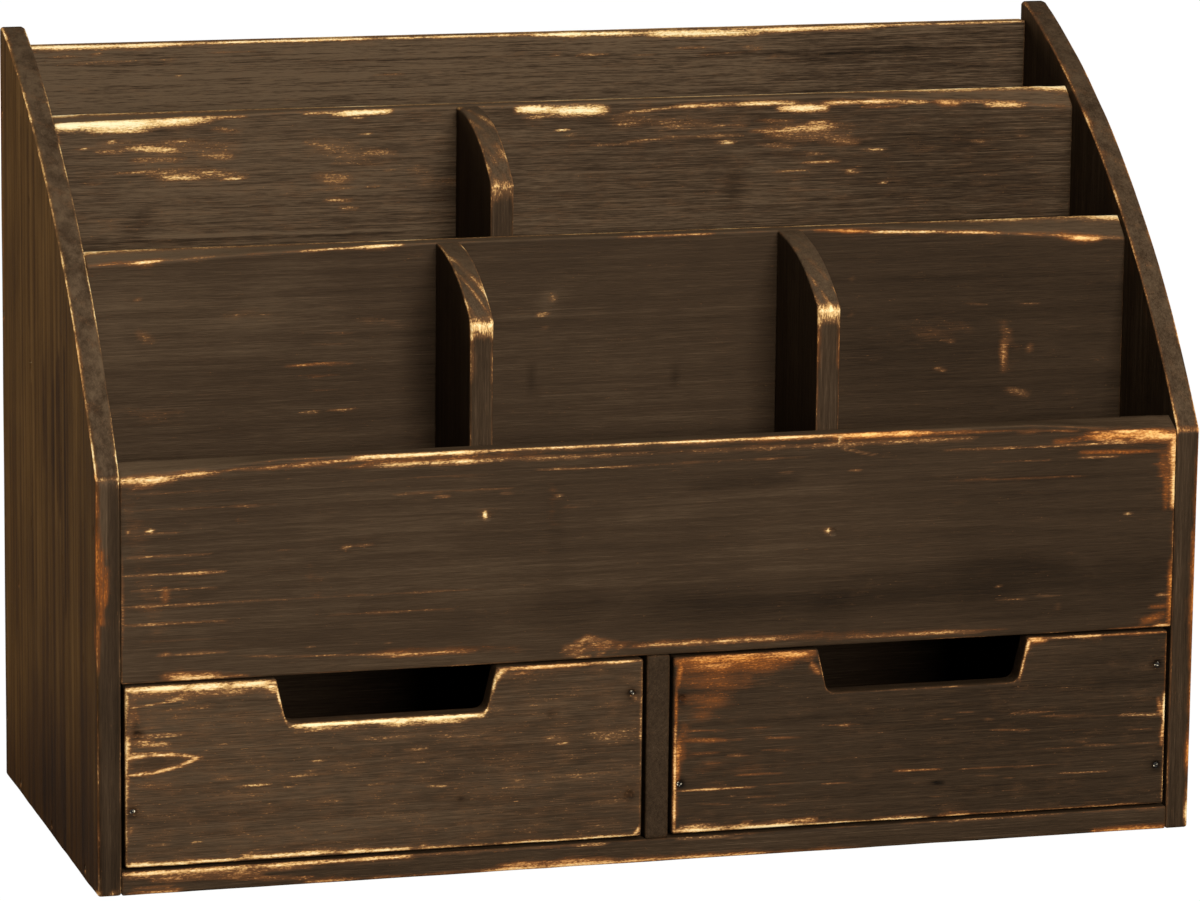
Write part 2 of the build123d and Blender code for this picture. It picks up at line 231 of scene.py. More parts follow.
def painted(tree, key):
    """One of the values painted on the points."""
    return node(tree, "ShaderNodeAttribute", attribute_name=key).outputs["Fac"]


def fit(tree, value, low, high, bottom=0.0, top=1.0, curve="LINEAR"):
    """A value whose range from low to high is fitted to the range from bottom to top."""
    ends = {0: value, 1: low, 2: high, 3: bottom, 4: top}
    return node(tree, "ShaderNodeMapRange", ends, interpolation_type=curve).outputs[0]


def mix(tree, factor, first, second):
    """One colour going over into another."""
    inputs = {"Factor": factor, 6: first, 7: second}
    return node(tree, "ShaderNodeMix", inputs, data_type="RGBA").outputs[2]


def streaks(tree, place, along, across, detail=3.0, roughness=0.55):
    """Noise drawn out along the grain; along and across are its rough sizes in millimetres."""
    size = (1 / along, 1 / across, 1 / across)
    scaled = node(tree, "ShaderNodeMapping", {0: place, 3: size})
    inputs = {"Vector": scaled.outputs[0], "Scale": 1.0, "Detail": detail, "Roughness": roughness}
    return node(tree, "ShaderNodeTexNoise", inputs).outputs[0]


def blend(tree, *pairs):
    """The sum of (noise - 0.5) * weight."""
    return plus(tree, *(math_node(tree, "MULTIPLY", math_node(tree, "SUBTRACT", value, 0.5), weight)
                        for value, weight in pairs))


def pine_rings(tree, place, pith, spacing):
    """Growth rings round a pith line that lies beside the board, bent by slow noise."""
    bend = node(tree, "ShaderNodeMapping", {0: place, 3: (0.008, 0.02, 0.02)})
    wobble = node(tree, "ShaderNodeTexNoise", {"Vector": bend.outputs[0], "Scale": 1.0, "Detail": 2.0})
    flat = node(tree, "ShaderNodeMapping", {0: place, 1: (0, -pith[0], -pith[1]), 3: (0.06, 1, 1)})
    radius = node(tree, "ShaderNodeVectorMath", {0: flat.outputs[0]}, operation="LENGTH").outputs["Value"]
    moved = math_node(tree, "ADD", radius, math_node(tree, "MULTIPLY", wobble.outputs[0], 9.0))
    turn = math_node(tree, "FRACT", math_node(tree, "DIVIDE", moved, spacing))
    return math_node(tree, "POWER", turn, 2.2)


def stained_pine(name, grain, cut, pith=(20.0, 45.0), spacing=3.4, tone=0.0, coarse=1.0, fleck=5.0,
                 banding=0.24):
    """The finish for one board: grain names the axis it runs along, cut is where in the tree it lay,
    tone how light its stain came out, coarse how strongly its fibres show, fleck the length of a
    torn fleck in millimetres, banding how strong its broad streaks are."""
    paint, tree = empty_material(name)
    here = node(tree, "ShaderNodeTexCoord").outputs["Object"]
    axes = node(tree, "ShaderNodeSeparateXYZ", {0: here}).outputs
    order = {"X": (0, 2, 1), "Y": (1, 0, 2), "Z": (2, 1, 0)}[grain]
    turned = node(tree, "ShaderNodeCombineXYZ", {i: axes[k] for i, k in enumerate(order)})
    place = node(tree, "ShaderNodeMapping", {0: turned.outputs[0], 1: cut, 3: (1 / MM,) * 3}).outputs[0]

    # the wood, and how deep the stain went into it
    in_tree = node(tree, "ShaderNodeMapping", {0: place, 1: tuple(-c for c in cut)}).outputs[0]
    rings = pine_rings(tree, in_tree, pith, spacing)
    fibres = streaks(tree, place, 9, 0.5, 4.0, 0.7)
    bands = streaks(tree, place, 160, 4.0, 2.0)
    clouds = streaks(tree, place, 60, 24, 3.0)
    pores = streaks(tree, place, 3.5, 0.32, 1.0)
    hairs = streaks(tree, place, 45, 0.24, 3.0, 0.6)
    lines = streaks(tree, place, 35, 1.0, 2.0)
    pale_hairs = fit(tree, hairs, 0.56, 0.72, top=0.30 * coarse)
    uneven = blend(tree, (clouds, 0.20 + 0.4 * banding), (bands, banding), (fibres, 0.62 * coarse),
                   (rings, -0.05), (pores, 0.2 * coarse), (lines, 0.38 * coarse))
    depth = plus(tree, uneven, pale_hairs, plus(tree, painted(tree, "shade"), MIDDLE_DEPTH + tone))
    stain = mix(tree, painted(tree, "warm"), ramp(tree, depth, STAIN), ramp(tree, depth, WARM_STAIN))

    # how far the sanding went: a haze of thinned stain first, then bare wood in torn flecks
    torn = streaks(tree, place, fleck, 0.40, 3.0, 0.65)
    flecks = streaks(tree, place, 1.1, 0.45, 2.0, 0.6)
    mottle = streaks(tree, place, 9, 3.5, 3.0)
    bare, amber = painted(tree, "bare"), painted(tree, "amber")
    sanded = plus(tree, bare, blend(tree, (torn, 1.35), (flecks, 1.7), (mottle, 0.7)))
    reveal = fit(tree, sanded, *BARE_FROM_TO, curve="SMOOTHSTEP")
    haze = plus(tree, bare, blend(tree, (mottle, 0.6), (fibres, 0.5)))
    haze = fit(tree, haze, *HAZE_FROM_TO, top=0.85, curve="SMOOTHSTEP")
    thin = mix(tree, amber, (*THIN_STAIN, 1), (*THIN_AMBER, 1))
    stain = mix(tree, haze, stain, thin)
    even = plus(tree, math_node(tree, "MULTIPLY", sanded, 0.6), math_node(tree, "MULTIPLY", bare, 0.4))
    tint = plus(tree, even, blend(tree, (fibres, 0.5), (pores, 0.3)))
    pale = ramp(tree, fit(tree, tint, BARE_FROM_TO[0], PALEST), WORN_PALE)
    rust = ramp(tree, fit(tree, tint, BARE_FROM_TO[0], PALEST + 0.1), WORN_AMBER)
    colour = mix(tree, reveal, stain, mix(tree, amber, pale, rust))

    # bare wood is a little rougher and lies a little lower
    rough = plus(tree, blend(tree, (fibres, 0.3), (clouds, 0.2)), ROUGHNESS)
    rough = plus(tree, math_node(tree, "MULTIPLY", reveal, 0.2), rough)
    relief = plus(tree, blend(tree, (fibres, 1.0), (pores, 0.7), (bands, 0.6)),
                  math_node(tree, "MULTIPLY", reveal, -0.28))
    bump = node(tree, "ShaderNodeBump", {"Strength": 0.55, "Distance": RELIEF_DEPTH, "Height": relief})
    shader = node(tree, "ShaderNodeBsdfPrincipled",
                  {"Base Color": colour, "Roughness": rough, "Normal": bump.outputs[0]})
    shader.inputs["IOR"].default_value = LOW_SHEEN
    node(tree, "ShaderNodeOutputMaterial", {"Surface": shader.outputs[0]})
    return paint


print("stain has", len(STAIN), "depths, bare wood", len(WORN_PALE))

# %% [markdown]
# ## How a board is shaped
# Every board is a slab whose lower edge is straight and whose upper edge may slope or curve. One
# rule makes them all: a net of points over the outside of a block, stretched so that its top
# follows the board's own top. Each corner is then pulled in on a small, uneven radius, because
# sanding never leaves an edge sharp or quite straight. The points are close together near the
# edges, where the wear is, and wide apart in the middle.

# %% The slab
EDGE_STEPS = (0.0, 0.3, 0.65, 1.05, 1.6, 2.4, 3.6, 5.2)
DENT_REACH = 1.45            # where a dimple's slope starts, in times its own radius
THROUGH_STEP = 2.6           # how far apart the points lie through a board
edge_distance = {}           # by piece, how far each point lies from the nearest edge


def spaced(low, high, step, extra=()):
    """Places from low to high, dense near both ends and about a step apart between."""
    inner, outer = EDGE_STEPS[-1], np.array(EDGE_STEPS[:-1])
    if high - low < 2 * inner + step:
        count = max(3, int((high - low) / 0.8))
        places = np.linspace(low, high, count + 1)
    else:
        count = max(1, round((high - low - 2 * inner) / step))
        middle = np.linspace(low + inner, high - inner, count + 1)
        places = np.concatenate([low + outer, middle, high - outer])
    added = [e for e in extra if low < e < high]
    places = np.unique(np.round(np.concatenate([places, added]), 3))
    keep = np.concatenate([[True], np.diff(places) > 0.05])
    keep[-1] = True
    return places[keep]


def waver(seed, places, period, low, high):
    """Smooth random values along a length, between low and high."""
    rng = np.random.default_rng(seed)
    knots = np.arange(places.min() - 2 * period, places.max() + 3 * period, period)
    values = rng.uniform(low, high, len(knots))
    fraction = (places - knots[0]) / period
    index = fraction.astype(int)
    ease = fraction - index
    ease = ease * ease * (3 - 2 * ease)
    return values[index] * (1 - ease) + values[index + 1] * ease


def block_net(count):
    """Grid indices of the outside of a block of count points each way, and the quads between them."""
    number = np.full(count, -1)
    index = np.indices(count).reshape(3, -1).T
    outside = ((index == 0) | (index == np.array(count) - 1)).any(1)
    shown = index[outside]
    number[tuple(shown.T)] = np.arange(len(shown))
    quads = []
    for axis in range(3):
        for end in (0, count[axis] - 1):
            sheet = np.take(number, end, axis=axis)
            corners = [sheet[:-1, :-1], sheet[1:, :-1], sheet[1:, 1:], sheet[:-1, 1:]]
            quad = np.stack([c.ravel() for c in corners], 1)
            outward = (end != 0) == (axis != 1)
            quads.append(quad if outward else quad[:, ::-1])
    return shown, np.concatenate(quads)


def slab(name, limits, axes, top=None, step=(2.6, 2.6), seed=1, radius=(0.5, 1.3), extra=((), ()),
         dents=()):
    """A board. limits are (low, high) pairs along its length, thickness and height; axes says which
    of X, Y, Z each of those is; top gives the height at a length and a thickness. step is how far
    apart the points lie along and up the board, extra are places to add there, radius the least
    and most of its eased edges, dents are places, directions, radii and depths of dimples."""
    (a0, a1), (b0, b1), (h0, h1) = limits
    along = spaced(a0, a1, step[0], extra[0])
    through = spaced(b0, b1, THROUGH_STEP)
    height = spaced(h0, h1, step[1], extra[1])
    index, quads = block_net((len(along), len(through), len(height)))
    a, b, h = along[index[:, 0]], through[index[:, 1]], height[index[:, 2]]
    top = top or (lambda length, thickness: np.full_like(length, h1))
    high = top(a, b)
    slope = (top(a + 0.05, b) - top(a - 0.05, b)) / 0.1
    margin = EDGE_STEPS[-1]
    share = np.clip((h - h0 - margin) / max(h1 - h0 - 2 * margin, 1e-6), 0, 1)
    z = h + share * (high - h1)

    r = waver(seed, a + 3.1 * index[:, 1] / len(through), 9.0, *radius)
    r = 0.5 * r + 0.5 * waver(seed + 1, z + a, 23.0, *radius)
    lean = np.sqrt(1 + slope ** 2)
    over_a = np.maximum(0, a - (a1 - r)) - np.maximum(0, (a0 + r) - a)
    over_b = np.maximum(0, b - (b1 - r)) - np.maximum(0, (b0 + r) - b)
    over_top = np.maximum(0, r - (high - z) / lean)
    over_low = np.maximum(0, r - (z - h0))
    shift = np.stack([over_a - over_top * slope / lean, over_b, over_top / lean - over_low], 1)
    size = np.linalg.norm(shift, axis=1)
    scale = np.where(size > 1e-9, np.minimum(1, r / np.maximum(size, 1e-9)), 1)
    local = np.stack([a, b, z], 1) - shift * (1 - scale)[:, None]

    points = np.zeros_like(local)
    for k, axis in enumerate(axes):
        points[:, "XYZ".index(axis)] = local[:, k]
    for centre, normal, wide, deep in dents:
        offset = points - np.array(centre)
        height_over = offset @ np.array(normal)
        away = np.linalg.norm(offset - np.outer(height_over, normal), axis=1)
        slope_in = (DENT_REACH * wide - away) / ((DENT_REACH - 1) * wide)
        sink = np.clip(slope_in, 0, 1) * deep * (np.abs(height_over) < 1.0)
        points -= np.outer(sink, normal)

    corners = points[quads]
    volume = np.einsum("ij,ij->i", corners[:, 0], np.cross(corners[:, 1], corners[:, 2])).sum()
    if volume < 0:
        quads = quads[:, ::-1]
    mesh = bpy.data.meshes.new(name)
    mesh.from_pydata((points * MM).tolist(), [], quads.tolist())
    mesh.polygons.foreach_set("use_smooth", np.ones(len(quads), bool))
    piece = bpy.data.objects.new(name, mesh)
    bpy.context.scene.collection.objects.link(piece)
    gaps = np.sort(np.stack([np.minimum(a - a0, a1 - a), np.minimum(b - b0, b1 - b),
                             np.minimum((high - z) / lean, z - h0)], 1), axis=1)
    edge_distance[piece.name] = gaps[:, 1]
    return piece


print("edge points at", EDGE_STEPS, "mm")

# %% [markdown]
# ## Taking the shape from the construction
# A board's limits are its node's box. Its top, which may curve, slope or be notched, is felt out
# with rays dropped on the node from above, near its two faces. Nail heads get shallow dimples at
# the places where the construction has them.

# %% Reading the nodes
FEEL = 0.95                  # how far inside a face the rays fall, clear of the eased edge


def limits_of(name, axes):
    """A node's limits in millimetres, in the order of axes."""
    low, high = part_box(name)
    return [(low["XYZ".index(k)] / MM, high["XYZ".index(k)] / MM) for k in axes]


def felt_top(name, axes):
    """The node's upper surface as a function of length and thickness."""
    (a0, a1), (b0, b1), (h0, h1) = limits_of(name, axes)
    obj = frame["nodes"][name]
    inside = np.linspace(a0 + FEEL, a1 - FEEL, int((a1 - a0) / 0.4))
    profiles = []
    for b in (b0 + FEEL, b1 - FEEL):
        heights = []
        for a in inside:
            start = Vector((0, 0, 0))
            for value, axis in zip((a, b, h1 + 5), axes):
                start["XYZ".index(axis)] = value * MM
            drop = Vector((0, 0, 0))
            drop["XYZ".index(axes[2])] = -1
            hit, spot, _, _ = obj.ray_cast(start, drop)
            heights.append(spot["XYZ".index(axes[2])] / MM if hit else h1)
        profiles.append(np.array(heights))

    def top(length, thickness):
        step = 4 * (inside[1] - inside[0])
        before = np.minimum(0, length - inside[0])
        after = np.maximum(0, length - inside[-1])
        front, back = (np.interp(length, inside, p) + before * (p[4] - p[0]) / step
                       + after * (p[-1] - p[-5]) / step for p in profiles)
        share = (thickness - b0 - FEEL) / (b1 - b0 - 2 * FEEL)
        return np.minimum(front + (back - front) * share, h1)
    return top


def nail_places(name):
    """Each nail of a node: the middle of its head, the way it points and its length."""
    mesh = frame["nodes"][name].data
    points = np.array([v.co for v in mesh.vertices]) / MM
    _, same = np.unique(np.round(points, 3), axis=0, return_inverse=True)
    same = same.ravel()
    parent = list(range(same.max() + 1))

    def root(k):
        while parent[k] != k:
            parent[k] = parent[parent[k]]
            k = parent[k]
        return k
    for face in mesh.polygons:
        first = root(same[face.vertices[0]])
        for v in face.vertices[1:]:
            parent[root(same[v])] = first
    group = np.array([root(k) for k in same])
    nails = []
    for g in np.unique(group):
        part = points[group == g]
        low, high = part.min(0), part.max(0)
        axis = int(np.argmax(high - low))
        at_low, at_high = (part[np.abs(part[:, axis] - end[axis]) < 0.1] for end in (low, high))
        head_is_low = np.ptp(at_low[:, (axis + 1) % 3]) > np.ptp(at_high[:, (axis + 1) % 3])
        way = np.zeros(3)
        way[axis] = 1.0 if head_is_low else -1.0
        head = (low + high) / 2
        head[axis] = low[axis] if head_is_low else high[axis]
        nails.append((head, way, high[axis] - low[axis]))
    return nails


nails = {n: nail_places(n) for n in sorted(frame["nodes"]) if "nails" in n}
print("nails found:", sum(len(v) for v in nails.values()))

# %% [markdown]
# ## Painting the wear
# Wear is painted as strokes, given one by one. A stroke runs from one place to another on a board's
# face and fades out sideways; its strength says how deep the sanding went, and its last value how
# orange the wood is. All edges also get a little wear by themselves, in an uneven measure.

# %% Strokes
def stroke_fall(points, start, end, spread):
    """How strongly a stroke reaches each point."""
    start, end = np.array(start, float), np.array(end, float)
    line = end - start
    share = np.clip((points - start) @ line / max(line @ line, 1e-9), 0, 1)
    away = np.linalg.norm(points - start - share[:, None] * line, axis=1)
    length = np.linalg.norm(line)
    ends = np.clip(np.minimum(share, 1 - share) * length / min(8.0, 0.3 * length + 0.1), 0, 1)
    uneven = waver(int(abs(start).sum() * 7 + length), share * length, 6.0, 0.82, 1.12)
    return np.exp(-(away / spread) ** 2) * (0.72 + 0.28 * ends) * uneven


def on_face(axes, depth, a, h):
    """A place on the face of a board, from its length, the face's depth, and its height."""
    spot = [0, 0, 0]
    for value, axis in zip((a, depth, h), axes):
        spot["XYZ".index(axis)] = value
    return spot


WIDE = 2.0                   # wider strokes lie on one face only and have no fringe
WIDE_DEPTH = 1.5             # how far they go into the thickness past the first millimetre
FRINGE = 0.40                # how much of a stroke's strength its warm fringe has
FRINGE_REACH = 1.1           # how far the fringe goes beyond the stroke
FRINGE_AMBER = 0.4           # how much more orange it is
EDGE_REACH = 0.75            # how far the wear of an edge goes in from it
GROUND_AMBER = 0.3           # how orange the faint wear all over a board is


def paint_wear(piece, axes, depth, strokes=(), shades=(), edges=0.6, edge_amber=0.35, ground=0.0):
    """Writes bare, amber and shade on the points. Strokes are (a, h, a, h, spread, strength, amber),
    and may end with a depth of their own; shades are the same without amber. edges and ground say
    how worn the edges and the whole board are."""
    mesh = piece.data
    points = np.empty(len(mesh.vertices) * 3)
    mesh.vertices.foreach_get("co", points)
    points = points.reshape(-1, 3) / MM
    piece_seed = sum(map(ord, piece.name))
    along = points[:, "XYZ".index(axes[0])] + 0.7 * points[:, "XYZ".index(axes[2])]
    uneven = waver(piece_seed, along, 14.0, 0.1, 1.0) * waver(piece_seed + 1, along, 5.0, 0.6, 1.2)
    near = np.exp(-(edge_distance[piece.name] / EDGE_REACH) ** 2)
    layers = [(ground * np.ones(len(points)), GROUND_AMBER), (edges * uneven * near, edge_amber)]
    for a_0, h_0, a_1, h_1, spread, strength, amber, *own in strokes:
        plane = own[0] if own else depth
        start, end = on_face(axes, plane, a_0, h_0), on_face(axes, plane, a_1, h_1)
        fall = stroke_fall(points, start, end, spread)
        if spread > WIDE:
            thick = abs(points[:, "XYZ".index(axes[1])] - plane)
            fall = fall * np.clip(1 - (thick - 1.0) / WIDE_DEPTH, 0, 1)
        else:
            fringe = stroke_fall(points, start, end, spread + FRINGE_REACH)
            weaker = strength * FRINGE * min(1.0, spread / 0.7)
            layers.append((fringe * weaker, min(1.0, amber + FRINGE_AMBER)))
        layers.append((fall * strength, amber))
    values = np.array([v for v, _ in layers])
    ambers = np.array([a for _, a in layers])[:, None]
    weight = np.maximum(values, 1e-6) ** 2
    bare = values.max(0)
    amber = (weight * ambers).sum(0) / weight.sum(0)
    shade = np.zeros(len(points))
    for a_0, h_0, a_1, h_1, spread, strength in shades:
        start, end = on_face(axes, depth, a_0, h_0), on_face(axes, depth, a_1, h_1)
        shade += stroke_fall(points, start, end, 1.15 * spread) * strength
    for key, data in (("bare", bare), ("amber", amber), ("shade", shade)):
        layer = mesh.attributes.get(key) or mesh.attributes.new(key, "FLOAT", "POINT")
        layer.data.foreach_set("value", data.astype(np.float32))


def add_shade(piece, where, amount, key="shade"):
    """Adds to a painted value (at first the stain's lightness and painted light) where a test on the points
    holds.
    """
    layer = piece.data.attributes.get(key) or piece.data.attributes.new(key, "FLOAT", "POINT")
    values = np.empty(len(piece.data.vertices), np.float32)
    layer.data.foreach_get("value", values)
    points = np.array([v.co for v in piece.data.vertices]) / MM
    normals = np.array([v.normal for v in piece.data.vertices])
    values += where(points, normals).astype(np.float32) * amount
    layer.data.foreach_set("value", values)


DENT_POINTS = (-1.6, -1.2, -0.8, -0.3, 0.3, 0.8, 1.2, 1.6)   # where a dimple needs points
FINE_STEP = 0.7              # how far apart the points lie up a board where it is fine


def board(name, node_name, body, axes, finish, slot, dents=(), felt=True, extra=(), fine=None, **shape):
    """A worn board in a node's place, ready for painting. felt says whether its top is felt out,
    extra are further places along it, fine is where its points lie close together upwards."""
    around_a, around_h = ([c["XYZ".index(axis)] + d for c, *_ in dents for d in DENT_POINTS]
                          for axis in (axes[0], axes[2]))
    up = [*np.arange(*fine, FINE_STEP)] if fine else []
    piece = slab(name, limits_of(node_name, axes), axes, dents=dents,
                 top=felt_top(node_name, axes) if felt else None,
                 extra=([*extra, *around_a], [*up, *around_h]), **shape)
    piece.data.materials.append(finish)
    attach(piece, body)
    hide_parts(node_name)
    return piece


def heads_in(group):
    """Dimples over the nail heads of a node: place, outward direction, radius and depth."""
    return [(tuple(head), tuple(-way), 1.05, 0.34) for head, way, _ in nails[group]]


CASE, DRAWER = "stained_pine_case", "stained_pine_drawers"
LEFT_LIGHTER = 0.09          # how much lighter a long board is painted at its left end


def paint_top_light(piece, amount):
    """Lightens the faces that look up: painted light from above, on tops that were also sanded last."""
    add_shade(piece, lambda p, n: np.clip(n[:, 2] * 1.5, 0, 1), amount)


def lighten_left(piece, middle=0.0):
    """Lightens a long board towards its left end."""
    add_shade(piece, lambda p, n: -(p[:, 0] - middle) / 180, LEFT_LIGHTER)


print("brushes ready")

# %% [markdown]
# ## The two sides
# Each side is one board with its grain upright. Its long curve was sanded after assembly, and the
# outer front corner has gone through to orange wood. The narrow top face is lighter than the rest,
# for that sanding and as painted light from above. The left side's flat face is the warm brown one
# that shows at the left.

# %% Sides
SIDE_AXES = "YXZ"
OUTER, INNER, FRONT = 190, 182, -83          # the sides' faces, right of the middle, and the front
left_finish = stained_pine("pine_left_side", "Z", (310.0, 40.0, 9.0), pith=(5.0, -215.0), spacing=4.4,
                           tone=0.045, coarse=0.8, fleck=9.0, banding=0.95)
right_finish = stained_pine("pine_right_side", "Z", (110.0, 340.0, 5.0), pith=(-20.0, 225.0),
                            spacing=4.4, fleck=9.0, banding=0.5)
left_side = board("left_side", "side_panel_left", "case", SIDE_AXES, left_finish, CASE, seed=3,
                  dents=heads_in("side_nails_left"), step=(1.6, 3.4))
right_side = board("right_side", "side_panel_right", "case", SIDE_AXES, right_finish, CASE, seed=8,
                   dents=heads_in("side_nails_right"), step=(2.6, 3.4))
LEFT_WEAR = [
    # along Y, height, to Y, height, spread, strength, orange, and perhaps another depth
    (-83, 96, -83, 124, 2, 0.8, 1, -190), (-83, 124, -83, 138, 1.1, 0.8, 1, -190),
    (-83, 76, -83, 96, 1.2, 0.75, 1, -190), (-83, 92, -83, 116, 1.5, 0.82, 1, -188.4),
    (-83, 98, -83, 110, 1.3, 0.8, 1, -187), (-83, 139, -81, 140.6, 0.7, 0.85, 0.9),
    (-83, 139.2, -82, 140, 0.6, 0.8, 0.8, -184), (-83, 8, -83, 62, 0.6, 0.7, 0.6),
    (-83, 0.8, -80, 0.8, 1.4, 0.95, 0.3), (-83, 0.8, -83, 0.8, 1.6, 0.9, 0.3, -185),
    (-81, 82, -80, 92, 1.2, 0.55, 0.9), (-14, 223.5, 4, 230.5, 1, 1, 1),
    (-12, 224, -4, 227.6, 1.2, 0.95, 1, -184), (38, 251, 50, 255.6, 1.3, 0.9, 0.3),
    (30, 248.6, 56, 257, 0.9, 0.7, 0.3, -183), (60, 259, 79, 264.5, 0.9, 0.8, 0.3),
    (-76, 148, -30, 205, 0.6, 0.42, 0.5), (79, 150, 80, 258, 0.9, 0.5, 0.6),
]
LEFT_SHADES = [
    # narrow streaks of dark stain, then the lighter fields, and the foot darkened as painted shade
    (-31, 84, -31, 172, 1.2, -0.5), (-22, 116, -21, 168, 1.5, -0.55), (-17, 120, -17, 165, 1, -0.36),
    (-35, 90, -35, 190, 0.8, -0.32), (-11, 124, -11, 158, 1.6, -0.28), (6, 128, 6, 158, 2.6, -0.26),
    (-7, 130, -7, 210, 0.8, -0.24), (22, 78, 22, 230, 0.9, -0.22), (32, 170, 32, 235, 1, -0.28),
    (28, 76, 28, 150, 0.8, -0.3), (44, 120, 44, 240, 0.9, -0.2), (58, 60, 58, 250, 1, -0.2),
    (-60, 85, -60, 118, 7, -0.14), (-40, 150, -40, 168, 1.2, -0.2), (-27, 90, -27, 160, 1.2, 0.12),
    (50, 80, 50, 240, 0.8, -0.14), (14, 160, 14, 230, 0.8, -0.14), (66, 100, 66, 250, 0.9, -0.12),
    (40, 90, 40, 160, 26, 0.06), (-52, 160, 16, 214, 16, 0.08), (50, 44, 62, 50, 6, 0.08),
    (-8, 55, 30, 60, 7, 0.06), (-80, 4, 80, 4, 20, -0.22), (-70, 30, 20, 22, 24, -0.24),
    (-78, 60, -60, 60, 16, -0.1), (10, 245, 60, 255, 12, 0.06),
]
paint_wear(left_side, SIDE_AXES, -OUTER, LEFT_WEAR, LEFT_SHADES, edges=0.78, edge_amber=0.15, ground=0.08)
RIGHT_WEAR = [
    (-83, 16, -83, 136, 0.9, 0.95, 1), (-83, 56, -83, 104, 1.9, 0.95, 1), (-83, 18, -83, 36, 1.7, 1, 1),
    (-83, 1, -83, 8, 2.2, 1.3, 0.4), (-83, 8, -83, 16, 1.2, 1.1, 0.5),
    (-83, 5, -83, 20, 0.4, 0.9, 0.3, 182), (-83, 30, -83, 60, 0.4, 0.6, 0.5, 182),
    (-83, 138, -80, 141, 0.8, 0.9, 0.8), (-60, 165, 0, 222, 0.8, 0.8, 0.5, 183),
    (10, 230, 70, 261, 0.8, 0.7, 0.5, 183),
]
paint_wear(right_side, SIDE_AXES, OUTER, RIGHT_WEAR, (), edges=0.72, edge_amber=0.6, ground=0.08)
add_shade(left_side, lambda p, n: np.clip(-1.6 * n[:, 0] - 0.3, 0, 1), 1.0, "warm")


def curve_edges(points, normals):
    """High along both long edges of a side's curved top and in a slanting hatch between them."""
    across = abs(points[:, 0])
    from_edge = np.minimum(across - INNER, OUTER - across)
    outer_half = across > (INNER + OUTER) / 2
    torn = waver(71, points[:, 1] + 90 * outer_half, 8.0, 0.0, 1.0)
    torn = torn * waver(72, points[:, 1] - across, 3.0, 0.5, 1.2)
    hatch = 0.3 * waver(73, points[:, 1] + 0.8 * points[:, 0], 2.5, 0.0, 1.0) ** 2
    return (np.exp(-(from_edge / 0.8) ** 2) * torn + hatch) * (normals[:, 2] > 0.1)


for side in (left_side, right_side):
    # painted top light: the narrow curved top is lightened for the light from above
    add_shade(side, lambda p, n: np.clip(n[:, 2] * 1.6, 0, 1), 0.17)
    add_shade(side, curve_edges, 0.75, "bare")
print("sides", len(left_side.data.polygons), "and", len(right_side.data.polygons), "faces")

# %% [markdown]
# ## Boards across the case
# The back and the two tier boards run from side to side, like the front panel after them. The
# tiers' tops fall off towards the ends, where they were sanded down with the sides. Hands and
# letters rub these tops, so each has a torn pale line along it. The raw back board drank the least
# stain and shows its fibres.

# %% Back and tiers
ACROSS = "XYZ"
BACK_FACE, BACK_REAR = 77, 83                # depths of each board's front and rear faces
MIDDLE_FACE, MIDDLE_REAR = 26, 34
TIER_FACE, TIER_REAR = -29, -21
back_finish = stained_pine("pine_back", "X", (57.0, 210.0, 35.0), pith=(262.0, 118.0), spacing=3.0,
                           tone=0.30, coarse=2.6, fleck=4.0)
back_board = board("back_board", "back_panel", "case", ACROSS, back_finish, CASE, seed=12,
                   dents=heads_in("back_nails"), step=(3.2, 4.0), fine=(226.0, 258.0))
BACK_WEAR = [
    (-180, 258.2, -152, 257.8, 1.3, 1.25, 0.2), (-152, 257.8, -126, 258.2, 1.2, 1.2, 0.25),
    (-126, 258.5, -60, 258.5, 0.9, 1.15, 0.2), (-60, 258.5, 0, 258.5, 0.8, 1.1, 0.15),
    (0, 258, 40, 257.4, 1.1, 1.15, 0.1), (40, 257.2, 80, 256.6, 1.4, 1.2, 0.15),
    (80, 257.4, 130, 257.8, 1, 1.1, 0.25), (130, 258.4, 182, 258.5, 0.7, 0.9, 0.2),
    (-174, 254.6, -164, 254.6, 0.8, 0.6, 0.2), (-172, 252.2, -138, 252.4, 0.6, 0.62, 0.15),
    (-172, 249, -171, 249, 0.7, 0.7, 0.1), (-158, 255.4, -157, 255.2, 0.7, 0.7, 0.2),
    (-136, 252.4, -128, 252.2, 0.5, 0.6, 0.1), (-129, 247.2, -128, 246.6, 0.7, 0.85, 0),
    (-119, 254.6, -102, 254.8, 0.5, 0.5, 0.3), (4, 250.8, 8, 250.8, 0.6, 0.7, 0.2),
    (14, 250.6, 27, 250.4, 0.6, 0.75, 0.2), (34, 249.8, 44, 249.8, 0.5, 0.66, 0.2),
    (50, 252, 64, 252, 0.7, 0.55, 0.3), (74, 252.6, 82, 250.4, 0.8, 0.62, 0.2),
    (60, 249.4, 76, 249.6, 0.6, 0.5, 0.3), (86, 248, 88, 248, 0.6, 0.6, 0.1),
    (-60, 245.4, -48, 245.2, 0.5, 0.5, 0.3), (-8, 251.6, -4, 251.6, 0.5, 0.6, 0.1),
]
BACK_SHADES = [
    (-182, 252, -120, 251, 0.45, -0.3), (-120, 251, 182, 249, 0.45, -0.22),
    (60, 249.3, 140, 248, 0.5, -0.25), (-150, 246.8, -60, 245.6, 0.4, 0.35),
    (100, 252, 182, 250, 7, -0.14), (90, 242, 182, 240, 6, -0.1),
]
paint_wear(back_board, ACROSS, BACK_FACE, BACK_WEAR, BACK_SHADES, edges=0.6, edge_amber=0.3, ground=0.14)

